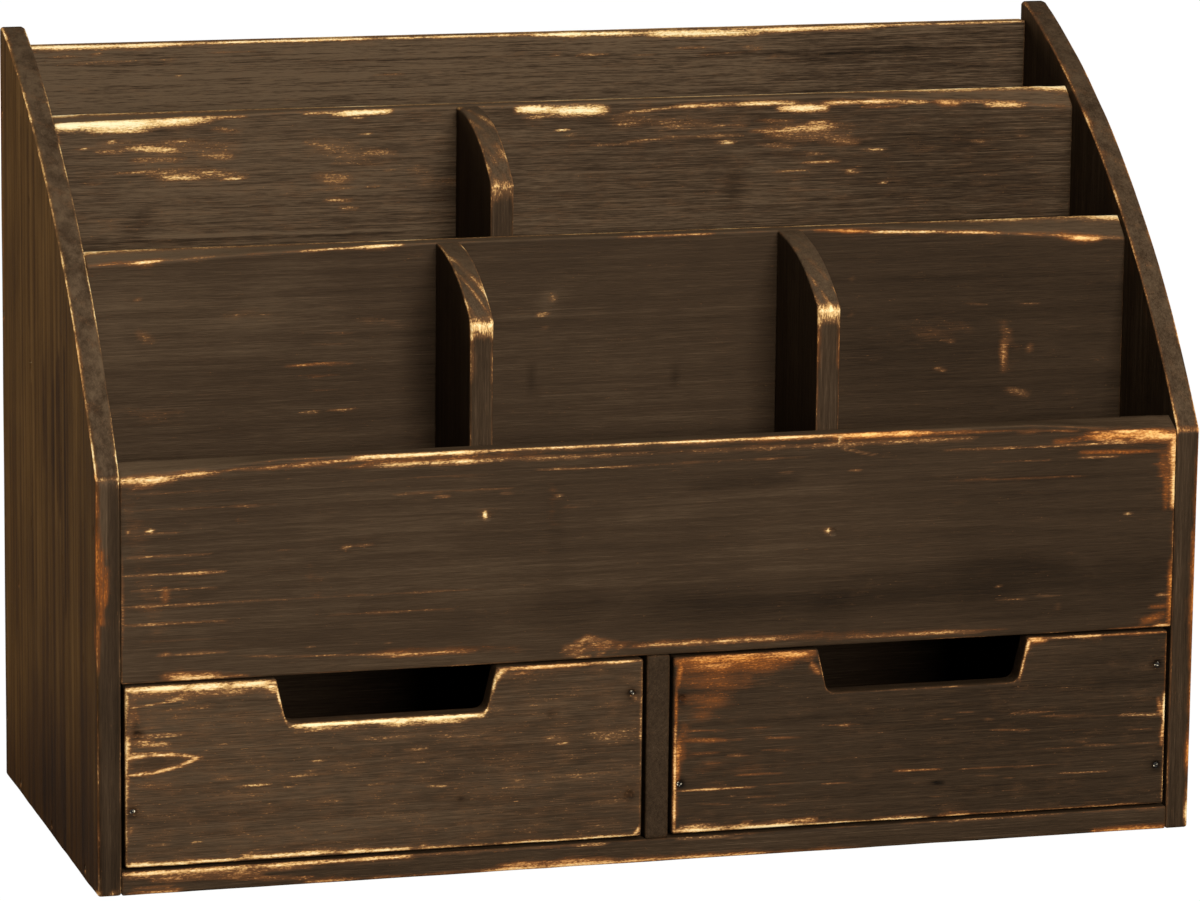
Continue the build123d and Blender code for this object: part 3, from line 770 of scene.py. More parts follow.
middle_finish = stained_pine("pine_middle_tier", "X", (403.0, 96.0, 50.0), pith=(232.0, 66.0), spacing=3.6,
                             tone=0.15, coarse=1.8, fleck=3.6)
middle_board = board("middle_board", "middle_tier_board", "case", ACROSS, middle_finish, CASE, seed=15,
                     step=(2.4, 4.0), fine=(196.0, 240.5))
MIDDLE_WEAR = [
    (-182, 239, -172, 239, 2.6, 1.6, 0.1), (-172, 238.6, -148, 238.2, 2.6, 1.6, 0.1),
    (-165, 231, -120, 228.4, 5, 0.45, 0.25), (-152, 221.4, -118, 219.8, 3, 0.54, 0.2),
    (-94, 229, -68, 224, 5, 0.43, 0.2), (-60, 222, -48, 214, 6, 0.32, 0.2),
    (10, 234, 60, 232, 4, 0.4, 0.3), (70, 229, 98, 227, 5, 0.55, 0.35),
    (-170, 236.4, -150, 236, 1.2, 1.1, 0.15), (-150, 238.4, -128, 239.2, 2, 1.25, 0.15),
    (-130, 239.6, -116, 239.8, 0.8, 0.9, 0.3), (-128, 236.2, -118, 234.6, 0.7, 0.75, 0.2),
    (-96, 240, -84, 240.2, 0.7, 0.9, 0.2), (-86, 239.6, -66, 240, 1.2, 1.3, 0.12),
    (-182, 236.5, -180, 232, 1, 0.85, 0.3), (-80, 238.2, -74, 238.2, 0.7, 0.8, 0.2),
    (-174, 230.4, -170, 230.2, 0.64, 0.87, 0.15), (-168, 229.2, -158, 228.8, 0.96, 0.75, 0.22),
    (-164, 232.6, -161, 232.2, 0.64, 0.97, 0.08), (-158, 230, -140, 229, 1.5, 0.9, 0.19),
    (-146, 231.8, -136, 232, 0.64, 0.67, 0.22), (-156, 226, -138, 225.6, 1.4, 0.68, 0.26),
    (-134, 227.2, -120, 225.8, 1.6, 0.7, 0.22), (-172, 218.4, -166, 218, 0.72, 0.67, 0.22),
    (-160, 221.6, -140, 221.6, 0.56, 0.9, 0.26), (-146, 219.6, -132, 219.2, 1.3, 1.04, 0.22),
    (-138, 221.4, -120, 220.6, 0.56, 0.8, 0.26), (-126, 218.6, -116, 218.4, 0.56, 0.84, 0.22),
    (-96, 230.4, -84, 227.4, 0.96, 0.68, 0.15), (-76, 232.4, -72, 232.4, 0.56, 0.84, 0.08),
    (-86, 222.4, -70, 222.2, 0.48, 0.87, 0.19), (-74, 226, -64, 225.6, 1.6, 0.7, 0.19),
    (-92, 218, -80, 217, 2.6, 0.6, 0.3), (-94, 213.8, -76, 214, 0.48, 0.72, 0.15),
    (-74, 214.2, -70, 214.4, 0.48, 0.8, 0.15), (-88, 210.2, -80, 209.6, 0.72, 1.03, 0.22),
    (-84, 207.6, -78, 206.8, 0.72, 0.91, 0.19), (-68, 219.6, -64, 219.6, 0.56, 0.72, 0.15),
    (-50, 216, -38, 215, 2, 0.47, 0.22), (-176, 205, -156, 205.6, 0.4, 0.67, 0.08),
    (-20, 239.4, -8, 239, 1.7, 1.4, 0.1), (-8, 238.6, 10, 238.2, 2.2, 1.4, 0.15),
    (-8, 236.6, 12, 237.4, 1.2, 0.95, 0.2), (-18, 236.4, -10, 236.8, 1, 0.8, 0.2),
    (-8, 231.8, -2, 231.8, 0.4, 1.01, 0), (-4, 229.9, 0, 230, 0.4, 0.95, 0),
    (16, 236.8, 34, 238.4, 0.6, 0.9, 0.2), (34, 238.6, 56, 239, 0.8, 1.15, 0.35),
    (56, 239, 80, 238.8, 0.9, 1.25, 0.25), (74, 237, 90, 236.6, 1.6, 1.35, 0.3),
    (90, 238.4, 118, 238.4, 0.9, 1.1, 0.4), (104, 236.6, 118, 236.4, 0.8, 0.62, 0.5),
    (116, 238, 128, 237.6, 0.9, 1, 0.4), (131, 237.6, 140, 236.8, 1.2, 0.85, 0.6),
    (134, 238.4, 166, 236.6, 1, 1.15, 0.35), (150, 236.2, 164, 235.4, 1.2, 1.2, 0.3),
    (166, 235.8, 182, 234.8, 0.7, 1, 0.4), (14, 233.2, 26, 233.4, 0.64, 0.74, 0.22),
    (30, 232.4, 44, 230.6, 1.3, 0.58, 0.19), (50, 231.6, 62, 231.4, 0.48, 0.84, 0.3),
    (6, 226.2, 18, 226.2, 0.4, 0.63, 0.22), (18, 227, 32, 227.6, 0.48, 0.83, 0.22),
    (32, 228.2, 60, 228, 0.96, 0.56, 0.19), (52, 225.8, 57, 225.6, 0.56, 1.23, 0.04),
    (66, 233, 80, 232.4, 0.96, 0.65, 0.45), (64, 229.4, 76, 228.8, 0.96, 0.84, 0.41),
    (76, 229.4, 94, 230, 1.8, 1.03, 0.34), (84, 231.8, 92, 231.6, 0.8, 0.81, 0.38),
    (66, 224.6, 78, 223.4, 1.4, 0.63, 0.3), (84, 226.4, 102, 224.4, 2, 0.63, 0.38),
    (84, 220.8, 90, 220.6, 0.72, 0.78, 0.22), (104, 221.6, 112, 221.2, 0.48, 1.01, 0.11),
    (82, 217.6, 96, 217.8, 0.48, 0.96, 0.3), (72, 215, 84, 214.8, 0.4, 0.81, 0.22),
    (98, 214.4, 102, 213.8, 0.64, 0.9, 0.15), (110, 209.6, 113, 209.4, 0.48, 1.01, 0.04),
    (78, 208.4, 94, 207.6, 0.64, 0.47, 0.3), (144, 223.6, 150, 223.2, 0.48, 0.81, 0.19),
    (160, 224.6, 168, 224.8, 0.32, 0.56, 0.22), (152, 220.2, 155, 220.2, 0.4, 0.67, 0.15),
    (138, 211.4, 156, 211.2, 0.32, 0.5, 0.22),
]
MIDDLE_SHADES = [
    (66, 235, 72, 226, 2, -0.1), (57, 205, 58, 214, 3, -0.2), (62, 203, 68, 216, 5, 0.06),
    (112, 216, 160, 210, 12, -0.12), (130, 226, 176, 226, 8, -0.06), (-154, 203, -150, 207, 3.2, -0.24),
    (-174, 203, -162, 201, 3, 0.07), (-150, 199.4, -80, 198.8, 0.5, 0.5),
    (-80, 199.2, -40, 198.9, 0.4, 0.3), (-182, 198.3, -60, 198, 0.5, -0.3),
    (-150, 214, -60, 212, 8, 0.05), (-40, 220, -24, 220, 10, -0.03), (-100, 235, -60, 234, 4, -0.05),
]
paint_wear(middle_board, ACROSS, MIDDLE_FACE, MIDDLE_WEAR, MIDDLE_SHADES, edges=0.55, edge_amber=0.4,
           ground=0.18)

front_finish = stained_pine("pine_front_tier", "X", (220.0, 33.0, 18.0), pith=(150.0, 24.0), spacing=4.0,
                            tone=0.03, coarse=0.65, fleck=4.0)
tier_board = board("tier_board", "front_tier_board", "case", ACROSS, front_finish, CASE, seed=19,
                   step=(2.4, 4.0), fine=(142.0, 203.0))
TIER_WEAR = [
    (-182, 200.2, -168, 200.6, 0.7, 1, 0.6), (-168, 200.4, -156, 200.9, 1, 1.3, 0.35),
    (-156, 201, -136, 201.9, 0.6, 1.15, 0.15), (-136, 201.9, -112, 202.4, 0.5, 0.85, 0.5),
    (-112, 202.3, -90, 202.8, 0.5, 1.05, 0.25), (-92, 202.8, -74, 203.3, 0.7, 1.2, 0.2),
    (0, 203.3, 34, 203.3, 0.5, 1, 0.5), (34, 203.4, 54, 203.4, 0.4, 0.6, 0.6),
    (70, 203.2, 90, 201.9, 0.7, 0.95, 0.9), (88, 201.9, 116, 201, 0.6, 1.2, 0.35),
    (116, 200.9, 140, 199.8, 0.6, 1.15, 0.45), (140, 199.7, 156, 198.8, 0.6, 1.1, 0.6),
    (154, 198.9, 166, 197.8, 0.9, 1.15, 0.7), (160, 197.4, 172, 196.8, 1.3, 1.2, 0.7),
    (172, 197.2, 181, 196.7, 0.6, 1.05, 0.3), (-165, 188, -164, 187.8, 0.6, 0.75, 0.3),
    (-165, 176.6, -160, 174, 2.2, 0.55, 0.35), (-114, 163.8, -92, 163.8, 0.5, 0.85, 0.6),
    (-106, 170.6, -94, 170.4, 0.4, 0.5, 0.3), (-100, 174.2, -92, 174.2, 0.4, 0.5, 0.5),
    (-110, 160, -96, 160, 0.5, 0.5, 0.6), (-108, 155, -96, 155, 0.5, 0.45, 0.6),
    (-110, 147.6, -104, 147.6, 0.7, 0.8, 0.2), (-100, 148, -90, 148, 0.5, 0.7, 0.3),
    (-24, 184.4, -22, 182, 1.4, 0.62, 0.1), (-28, 177.4, -25, 177.8, 1, 0.85, 0.15),
    (-26, 173.4, -25, 173, 0.7, 0.5, 0.2), (-136, 182, -116, 181, 3, 0.3, 0.2),
    (-90, 178, -72, 176, 3, 0.32, 0.3), (-176, 150, -150, 148, 4, 0.28, 0.4),
    (132, 183, 132, 180, 0.5, 0.6, 0.2), (132, 172.4, 132.6, 171.6, 0.8, 0.8, 0.2),
    (124, 175.6, 132, 175.2, 0.4, 0.55, 0.3), (145, 175, 151, 174.8, 0.4, 0.6, 0.3),
    (117, 163, 119, 162.6, 0.7, 0.75, 0.3), (138, 164, 139, 152, 1.6, 0.72, 0.5),
    (149, 164, 148, 158, 0.8, 0.55, 0.4), (138, 168, 142, 160, 2.4, 0.46, 0.5),
    (114, 153.6, 117, 152.6, 0.8, 0.72, 0.3), (140, 145.6, 148, 143, 1.4, 0.58, 0.3),
    (84, 187, 82, 184.6, 0.9, 0.5, 0.3), (82, 172, 83, 174, 0.8, 0.6, 0.3),
    (144, 201.6, 147, 200.6, 0.7, 0.9, 0.1), (100, 166, 124, 167, 5, 0.28, 0.5),
]
TIER_SHADES = [
    (-40, 165, 40, 160, 26, 0.02), (100, 184, 180, 178, 14, -0.08), (70, 160, 130, 154, 14, -0.06),
    (-180, 150, -60, 150, 12, -0.05), (-128, 178, -116, 190, 9, 0.07), (-172, 186, -172, 170, 6, 0.05),
    # the first shade below is a painted shadow beside the left lower divider
    (-70, 190, -66, 150, 5, -0.12), (-98, 170, -104, 190, 6, 0.04), (-25, 180, -24, 184, 3, 0.14),
    (-30, 160, -29, 150, 1, -0.2), (20, 152, 21, 158, 1.2, -0.2), (112, 200, 176, 196.5, 3, 0.05),
]
paint_wear(tier_board, ACROSS, TIER_FACE, TIER_WEAR, TIER_SHADES, edges=0.55, edge_amber=0.45, ground=0.08)


def rear_edge(depth, reach):
    """High along the rear edge of a board's top, which lies at this depth, in uneven lengths."""
    def test(points, normals):
        torn = waver(83, points[:, 0], 26.0, 0.35, 1.0) * waver(84, points[:, 0], 6.0, 0.75, 1.15)
        return np.exp(-((depth - points[:, 1]) / reach) ** 2) * (normals[:, 2] > 0.1) * torn
    return test


add_shade(middle_board, rear_edge(MIDDLE_REAR, 2.5), 1.55, "bare")
add_shade(tier_board, rear_edge(TIER_REAR, 2.5), 1.45, "bare")
add_shade(back_board, rear_edge(BACK_REAR, 5.0), 1.15, "bare")
for piece in (back_board, middle_board, tier_board):
    # painted top light: the tops are lightened for the light from above
    paint_top_light(piece, 0.28)
    lighten_left(piece)
print("back and tiers painted")

# %% [markdown]
# ## The front panel
# The broadest face, and the one that was handled most. Its top is torn pale along its whole
# length, short level scratches comb its left end, and the stain is rubbed off in a fan where a
# small knot meets the lower edge.

# %% Front panel
panel_finish = stained_pine("pine_front_panel", "X", (150.0, 5.0, 71.0), pith=(92.0, -54.0), spacing=4.2,
                            tone=0.035, coarse=0.6, fleck=5.0)
front_board = board("front_board", "front_panel", "case", ACROSS, panel_finish, CASE, seed=23,
                    dents=heads_in("front_panel_nails"), step=(2.4, 0.5))
COMB = [
    # height, from, to, strength of the level scratches at the left end
    (120.8, -177, -161, 0.5), (113.2, -180, -152, 0.66), (107.1, -181, -147, 0.82),
    (102, -179, -150, 0.62), (96.8, -181, -150, 0.76), (96.8, -150, -112, 0.5), (90.7, -182, -148, 0.72),
    (90.7, -112, -70, 0.5), (128.6, -181, -130, 0.46), (80.2, -170, -146, 0.72),
    (104.4, -176, -160, 0.42), (99.4, -174, -158, 0.45), (110.2, -172, -160, 0.4), (134, -180, -140, 0.4),
    (113.2, -130, -124, 0.5), (96.8, -112, -60, 0.44), (85, -176, -150, 0.36),
]
KNOT_FAN = [
    # where the strokes of the fan end
    (-34, 73.5), (-31, 71.8), (-27.5, 71.4), (-24, 71.4), (-20, 71.8), (-16, 72.8), (-11.5, 74.2),
    (-18, 76.4),
]
PANEL_WEAR = [(x0, z, x1, z - 0.1, 0.5, strength, 0.35) for z, x0, x1, strength in COMB]
PANEL_WEAR += [(-25.0, 79.0, x, z, 0.7, 0.85, 0.40) for x, z in KNOT_FAN]
PANEL_WEAR += [
    # the filled fan of the knot, then the torn top from left to right
    (-31, 73.6, -25, 75, 3.4, 0.62, 0.55), (-25, 75.8, -15, 75.4, 2.6, 0.62, 0.8),
    (-32, 76, -30.4, 73, 0.9, 1, 0.3), (-24.6, 78.4, -22.4, 77, 0.8, 0.95, 0.3),
    (-29, 71.8, -24, 71.8, 0.6, 1.1, 0.3), (-182, 138.4, -164, 138.6, 1.7, 1.2, 0.35),
    (-164, 139.4, -150, 140, 1, 1.05, 0.4), (-178, 136.4, -170, 136.6, 0.9, 0.62, 0.5),
    (-150, 140.3, -126, 141.2, 0.6, 0.85, 0.5), (-126, 141.2, -102, 142.2, 0.8, 1, 0.45),
    (-104, 142.8, -60, 143.1, 1.1, 1.3, 0.25), (-60, 143.3, 0, 143.4, 0.8, 1.2, 0.25),
    (-100, 141.4, -44, 141.5, 1.1, 0.55, 0.9), (-98, 140, -54, 139.9, 0.45, 1, 0.2),
    (-54, 140, 0, 140.2, 0.42, 0.8, 0.3), (0, 140.2, 110, 139.8, 0.4, 0.66, 0.35),
    (0, 143.3, 34, 143.2, 0.8, 1.3, 0.35), (30, 143.2, 62, 143, 0.9, 1.3, 0.55),
    (60, 142.7, 94, 142.4, 1.2, 1.25, 0.85), (94, 142.3, 122, 141.8, 0.5, 0.75, 0.8),
    (122, 141.6, 146, 140.8, 0.5, 0.6, 0.7), (-44, 136, -8, 135.6, 0.4, 0.74, 0.3),
    (-8, 136, 50, 136, 0.4, 0.5, 0.4), (-92, 130, -50, 130.2, 0.45, 0.55, 0.3),
    (-76, 128.6, -72, 128.4, 0.5, 0.85, 0.3), (-100, 135, -60, 135.2, 0.4, 0.42, 0.4),
    (-114, 140.8, -98, 139.6, 0.6, 0.7, 0.6), (-54, 128.6, -52, 128.4, 0.5, 0.75, 0.2),
    # the orange corner at the upper right and the edge below it
    (138, 137.4, 156, 138.2, 1, 0.8, 0.95), (150, 138.6, 182, 138.6, 1.8, 1.15, 0.9),
    (152, 140, 176, 139.6, 0.6, 1.25, 0.75), (166, 137.6, 182, 137.6, 1.6, 1.35, 0.75),
    (100, 136.2, 140, 135.8, 0.45, 0.72, 0.4), (140, 136, 178, 135.9, 0.5, 0.9, 0.4),
    (148, 133.2, 176, 132.4, 0.9, 0.78, 1), (146, 131.5, 160, 131.3, 0.45, 0.9, 0.4),
    (116, 131.2, 136, 131.2, 0.45, 0.52, 0.5), (181, 138, 181, 127, 2, 1.35, 0.65),
    (181.4, 128, 181.4, 113, 1.5, 1.3, 0.6), (179.4, 136, 178.6, 113, 1.6, 0.62, 1),
    (181.8, 114, 181.8, 88, 0.7, 0.8, 0.6), (181.2, 94, 181.2, 73, 1.2, 0.86, 1),
    (176, 134, 177, 124, 1.2, 0.55, 1), (174, 128, 179, 127.6, 0.5, 0.8, 0.8),
    (175, 124, 179, 123.8, 0.5, 0.8, 0.8), (62, 138.6, 74, 135.6, 0.45, 0.8, 0.25),
    (61.4, 143.4, 61.6, 140.8, 0.4, 0.9, 0.1), (66, 130.8, 70, 130.6, 0.5, 0.8, 0.3),
    (40, 131.2, 46, 131, 0.5, 0.7, 0.2), (100, 125.6, 150, 125, 0.5, 0.4, 0.6),
    # single marks on the face, two of them painted glints round nails
    (-60.2, 122.2, -60, 120.8, 1, 1.5, 0), (58, 110.9, 58.4, 110.3, 0.9, 1.4, 0),
    (-128, 136.8, -126, 136.8, 0.5, 0.6, 0.2), (-172.6, 121.8, -171.4, 121.6, 0.6, 1, 0),
    (-180, 122, -179, 121, 0.7, 0.8, 0.3), (-144, 125, -140, 122, 1.6, 0.36, 0.5),
    (-167.4, 102.6, -167, 97.6, 0.7, 0.66, 0.8), (-168.6, 80.6, -167.2, 80.4, 0.8, 1.1, 0.5),
    (-108, 113.2, -106, 113, 0.8, 0.8, 0.2), (-106, 113.4, -98, 113.4, 0.5, 0.62, 0.3),
    (-104, 80.8, -103, 80.4, 0.6, 1, 0.1), (-121, 80.4, -118, 80.2, 0.5, 0.7, 0.2),
    (-94, 80.4, -92, 80.2, 0.5, 0.66, 0.2), (-35.4, 127, -34, 126.8, 0.6, 0.95, 0.05),
    (-34, 123, -29, 122.8, 0.5, 0.5, 0.4), (-37, 131, -36.6, 117, 1, 0.32, 0.6),
    (-120, 112, -116, 90, 2.4, 0.24, 0.6), (-181.4, 115, -181.4, 84, 0.7, 0.56, 0.5),
    (-180, 132, -170, 90, 5, 0.3, 0.5), (164.4, 111.4, 164.9, 111.2, 0.5, 0.9, 0),
    (118, 88.6, 120, 88.2, 0.6, 0.66, 0.3), (140, 82.6, 142, 78, 0.8, 0.42, 0.4),
    (118, 84, 130, 83.4, 0.4, 0.5, 0.3), (132, 84.4, 142, 84.2, 0.4, 0.5, 0.2),
    (176, 82.6, 180, 82.4, 0.6, 0.8, 0.4),
    # the lower edge
    (-168, 73, -150, 72.6, 1.3, 1, 0.55), (-166, 72, -148, 71.9, 0.9, 1.1, 0.35),
    (-150, 72.2, -140, 71.8, 0.7, 0.66, 0.6), (-144, 78.6, -126, 77.6, 0.4, 0.62, 0.3),
    (-128, 77.6, -104, 76.8, 0.4, 0.66, 0.4), (-106, 77, -90, 76.4, 0.5, 0.85, 0.4),
    (-92, 76.4, -60, 75.7, 0.55, 0.98, 0.45), (-62, 75.6, -36, 75.2, 0.5, 0.9, 0.5),
    (-96, 77.2, -50, 76.4, 1.5, 0.4, 0.9), (-16, 75.6, -6, 75, 0.7, 0.9, 0.7),
    (-6, 74.8, 16, 74.5, 0.5, 0.95, 0.4), (16, 74.5, 52, 74.2, 0.55, 1, 0.35),
    (52, 74.1, 84, 73.6, 0.55, 0.98, 0.4), (82, 73.6, 112, 73, 0.55, 1, 0.4),
    (112, 73.4, 124, 73.8, 0.6, 0.5, 0.8), (-4, 75.6, 100, 74.6, 1.3, 0.36, 0.9),
    (172, 73.4, 179, 75.6, 1.8, 0.66, 1), (174, 78.6, 181, 78.4, 1, 0.62, 1),
    (176, 71.7, 182, 71.7, 0.7, 1.1, 0.6), (160, 71.5, 176, 71.5, 0.5, 0.7, 0.8),
]
PANEL_SHADES = [
    (-37, 128, -36, 112, 2.6, -0.08), (-36, 110, -36, 92, 3.4, -0.04), (-40, 90, -22, 90, 4, -0.12),
    (-48, 87, -16, 85, 5, -0.07), (-10, 87, 60, 85, 5, -0.19), (60, 87, 120, 87, 5.5, -0.22),
    (106, 98, 140, 95, 4, -0.12), (120, 90, 180, 92, 8, -0.15), (12, 128.5, 46, 128.5, 2.2, -0.14),
    (-10, 118, 62, 126, 3, 0.06), (-62, 98, -44, 106, 10, 0.03), (20, 104, 90, 106, 7, 0.04),
    (-150, 84, -60, 82, 4, -0.06), (-28, 75.6, -24, 78.6, 0.6, -0.3), (80, 124, 150, 127, 5, -0.04),
    (-120, 108, -80, 110, 10, 0.02), (-24, 76, -18, 76.6, 4, 0.1),
]
paint_wear(front_board, ACROSS, FRONT, PANEL_WEAR, PANEL_SHADES, edges=0.62, edge_amber=0.5, ground=0.08)
# painted top light on the panel's top
paint_top_light(front_board, 0.2)
lighten_left(front_board)
print("front panel painted with", len(PANEL_WEAR), "strokes")

# %% [markdown]
# ## Dividers, partition, shelf and bottom
# The dividers stand between the rows with their grain upright. Their curved front edges are
# sanded light and carry painted top light, with a bright band at the shoulder where envelopes slide over.

# %% Inner boards
DIVIDERS = {
    # node, front, left face, right face, shoulder, seed, strength of the band, how orange its sides are
    "lower_left": ("lower_divider_left", -75, -63.5, -55.5, 184.2, 31, 1.15, 0.3),
    "lower_right": ("lower_divider_right", -75, 56.0, 64.0, 184.2, 37, 1.05, 0.75),
    "upper": ("upper_divider", -21, -42.5, -34.5, 220.6, 41, 0.62, 0.2),
}
LINE_LOW = 150               # where the line down a divider's front edge starts


def streaked(seed):
    """High in short slanting streaks along a divider's curved top."""
    def test(points, normals):
        across, along = points[:, 0], points[:, 1]
        streak = waver(seed, across + 0.35 * along, 1.2, 0.0, 1.0) ** 2
        return (normals[:, 2] > 0.15) * streak * waver(seed + 1, along - 0.5 * across, 3.0, 0.1, 1.0)
    return test


for name, (node_name, front, left, right, shoulder, seed, strong, rusty) in DIVIDERS.items():
    finish = stained_pine(f"pine_{name}_divider", "Z", (seed, 60.0 + seed, 20.0), pith=(30.0, seed),
                          spacing=3.6, fleck=2.5)
    piece = board(f"divider_{name}", node_name, "case", SIDE_AXES, finish, CASE, seed=seed, step=(1.8, 1.4))
    low = shoulder - 20
    wear = []
    for x in np.arange(left + 0.5, right, 1.4):
        wear.append((front, shoulder - 3.4, front, shoulder + 0.8, 2.0, strong, 0.2, x))
    for x in np.arange(left + 0.8, right, 1.6):
        wear.append((front + 4, shoulder + 7, front + 16, shoulder + 16, 2.0, 0.50, 0.2, x))
    for x in (left + 0.3, right - 0.3):
        wear.append((front, shoulder - 6, front, shoulder, 0.9, strong, 0.3, x))
        wear.append((front + 1.5, shoulder + 3, front + 9, shoulder + 12, 0.9, 0.75, 0.3, x))
    for x in (left + 0.2, right - 0.2):
        wear.append((front, low, front, shoulder - 6, 0.7, 0.8 * strong, rusty, x))
        wear.append((front, LINE_LOW, front, low, 0.5, 0.6, rusty, x))
    paint_wear(piece, SIDE_AXES, left, wear, (), edges=0.8, edge_amber=0.4, ground=0.10)
    # painted top light on the divider's curved top
    paint_top_light(piece, 0.26)
    add_shade(piece, streaked(seed), 0.85, "bare")
    add_shade(piece, lambda p, n: np.clip(-n[:, 1] - 0.2, 0, 1) * (p[:, 2] < shoulder - 4), -0.04)

partition_finish = stained_pine("pine_partition", "Y", (20.0, 77.0, 14.0), pith=(26.0, 40.0), tone=-0.04)
partition = board("partition", "drawer_partition", "case", SIDE_AXES, partition_finish, CASE, seed=44)
paint_wear(partition, SIDE_AXES, -4, edges=0.45, edge_amber=0.6, ground=0.08)

FLAT = "XZY"
shelf_finish = stained_pine("pine_shelf", "X", (90.0, 15.0, 140.0), pith=(40.0, 0.0), spacing=4.0,
                            tone=-0.05)
shelf = board("shelf", "shelf_board", "case", FLAT, shelf_finish, CASE, felt=False, seed=47)
paint_wear(shelf, FLAT, 79, edges=0.15, ground=0.06)
bottom_finish = stained_pine("pine_bottom", "X", (260.0, 8.0, 90.0), pith=(-30.0, 20.0), spacing=4.0)
bottom = board("bottom", "bottom_board", "case", FLAT, bottom_finish, CASE, felt=False, seed=53,
               dents=heads_in("partition_nails")[:3])
BOTTOM_WEAR = [
    (-182, 7.2, -140, 7.2, 1.1, 1.15, 0.35), (-140, 7.3, -84, 7.4, 0.9, 1.1, 0.35),
    (-180, 6.2, -118, 6.2, 1.2, 0.7, 0.4), (-172, 4.8, -134, 4.4, 1.2, 0.62, 0.5),
    (-150, 4.2, -118, 2, 0.8, 0.75, 0.5), (-178, 2.6, -166, 2.2, 0.7, 0.7, 0.5),
    (-180, 0.5, -162, 0.5, 0.8, 1, 0.6), (-120, 0.6, -104, 0.6, 0.8, 0.9, 0.6),
    (-84, 7.6, -20, 7.6, 0.5, 0.62, 0.5), (-62, 0.5, -10, 0.6, 1, 1.2, 0.55),
    (-54, 2.2, -14, 1.8, 1, 0.85, 0.6), (-14, 0.8, 40, 0.5, 1, 1, 0.6),
    (-104, 0.6, -60, 0.5, 0.6, 0.66, 0.6), (8, 7.5, 24, 7.3, 0.6, 0.9, 0.1),
    (20, 7.4, 30, 6.4, 0.5, 0.7, 0.2), (40, 0.4, 70, 0.4, 0.7, 0.7, 0.7),
    (155, 0.5, 182, 0.6, 1.3, 1.1, 0.9), (90, 7.7, 150, 7.7, 0.5, 0.85, 0.3),
    (-30, 7.6, -18, 7.4, 0.6, 0.9, 0.2), (150, 7.7, 182, 7.7, 0.5, 0.6, 0.6),
]
paint_wear(bottom, ACROSS, FRONT, BOTTOM_WEAR, (), edges=0.5, edge_amber=0.5, ground=0.08)
print("inner boards painted")

# %% [markdown]
# ## The two drawers
# Each front has a notch to pull it by. The left front is pale along its top, round its notch and
# along its lower edge, and a teardrop knot lies at its left end. The right front is burnt orange at
# its upper left corner and carries longer streaks. Behind them are thin boxes, stained and dull.

# %% Drawers
DRAWER_MIDDLE = 93.0         # the middle of the case to the middle of a drawer
NOTCH_HALF = 35.5            # middle of a notch to the middle of its sloping side
NOTCH_SLOPE = np.arange(-2.9, 2.91, 0.32)    # places that a sloping side needs, from its middle
NAIL_DARK_RING = (1.7, -0.7)     # how wide and how dark the ring painted round a nail head is


def notch_stations(centre):
    """Extra places along a drawer front, close together at both sides of its notch."""
    return [centre + side * NOTCH_HALF + d for side in (-1, 1) for d in NOTCH_SLOPE]


def round_head(head):
    """High close round a nail head."""
    return lambda p, n: np.exp(-(np.linalg.norm(p - head, axis=1) / NAIL_DARK_RING[0]) ** 2)


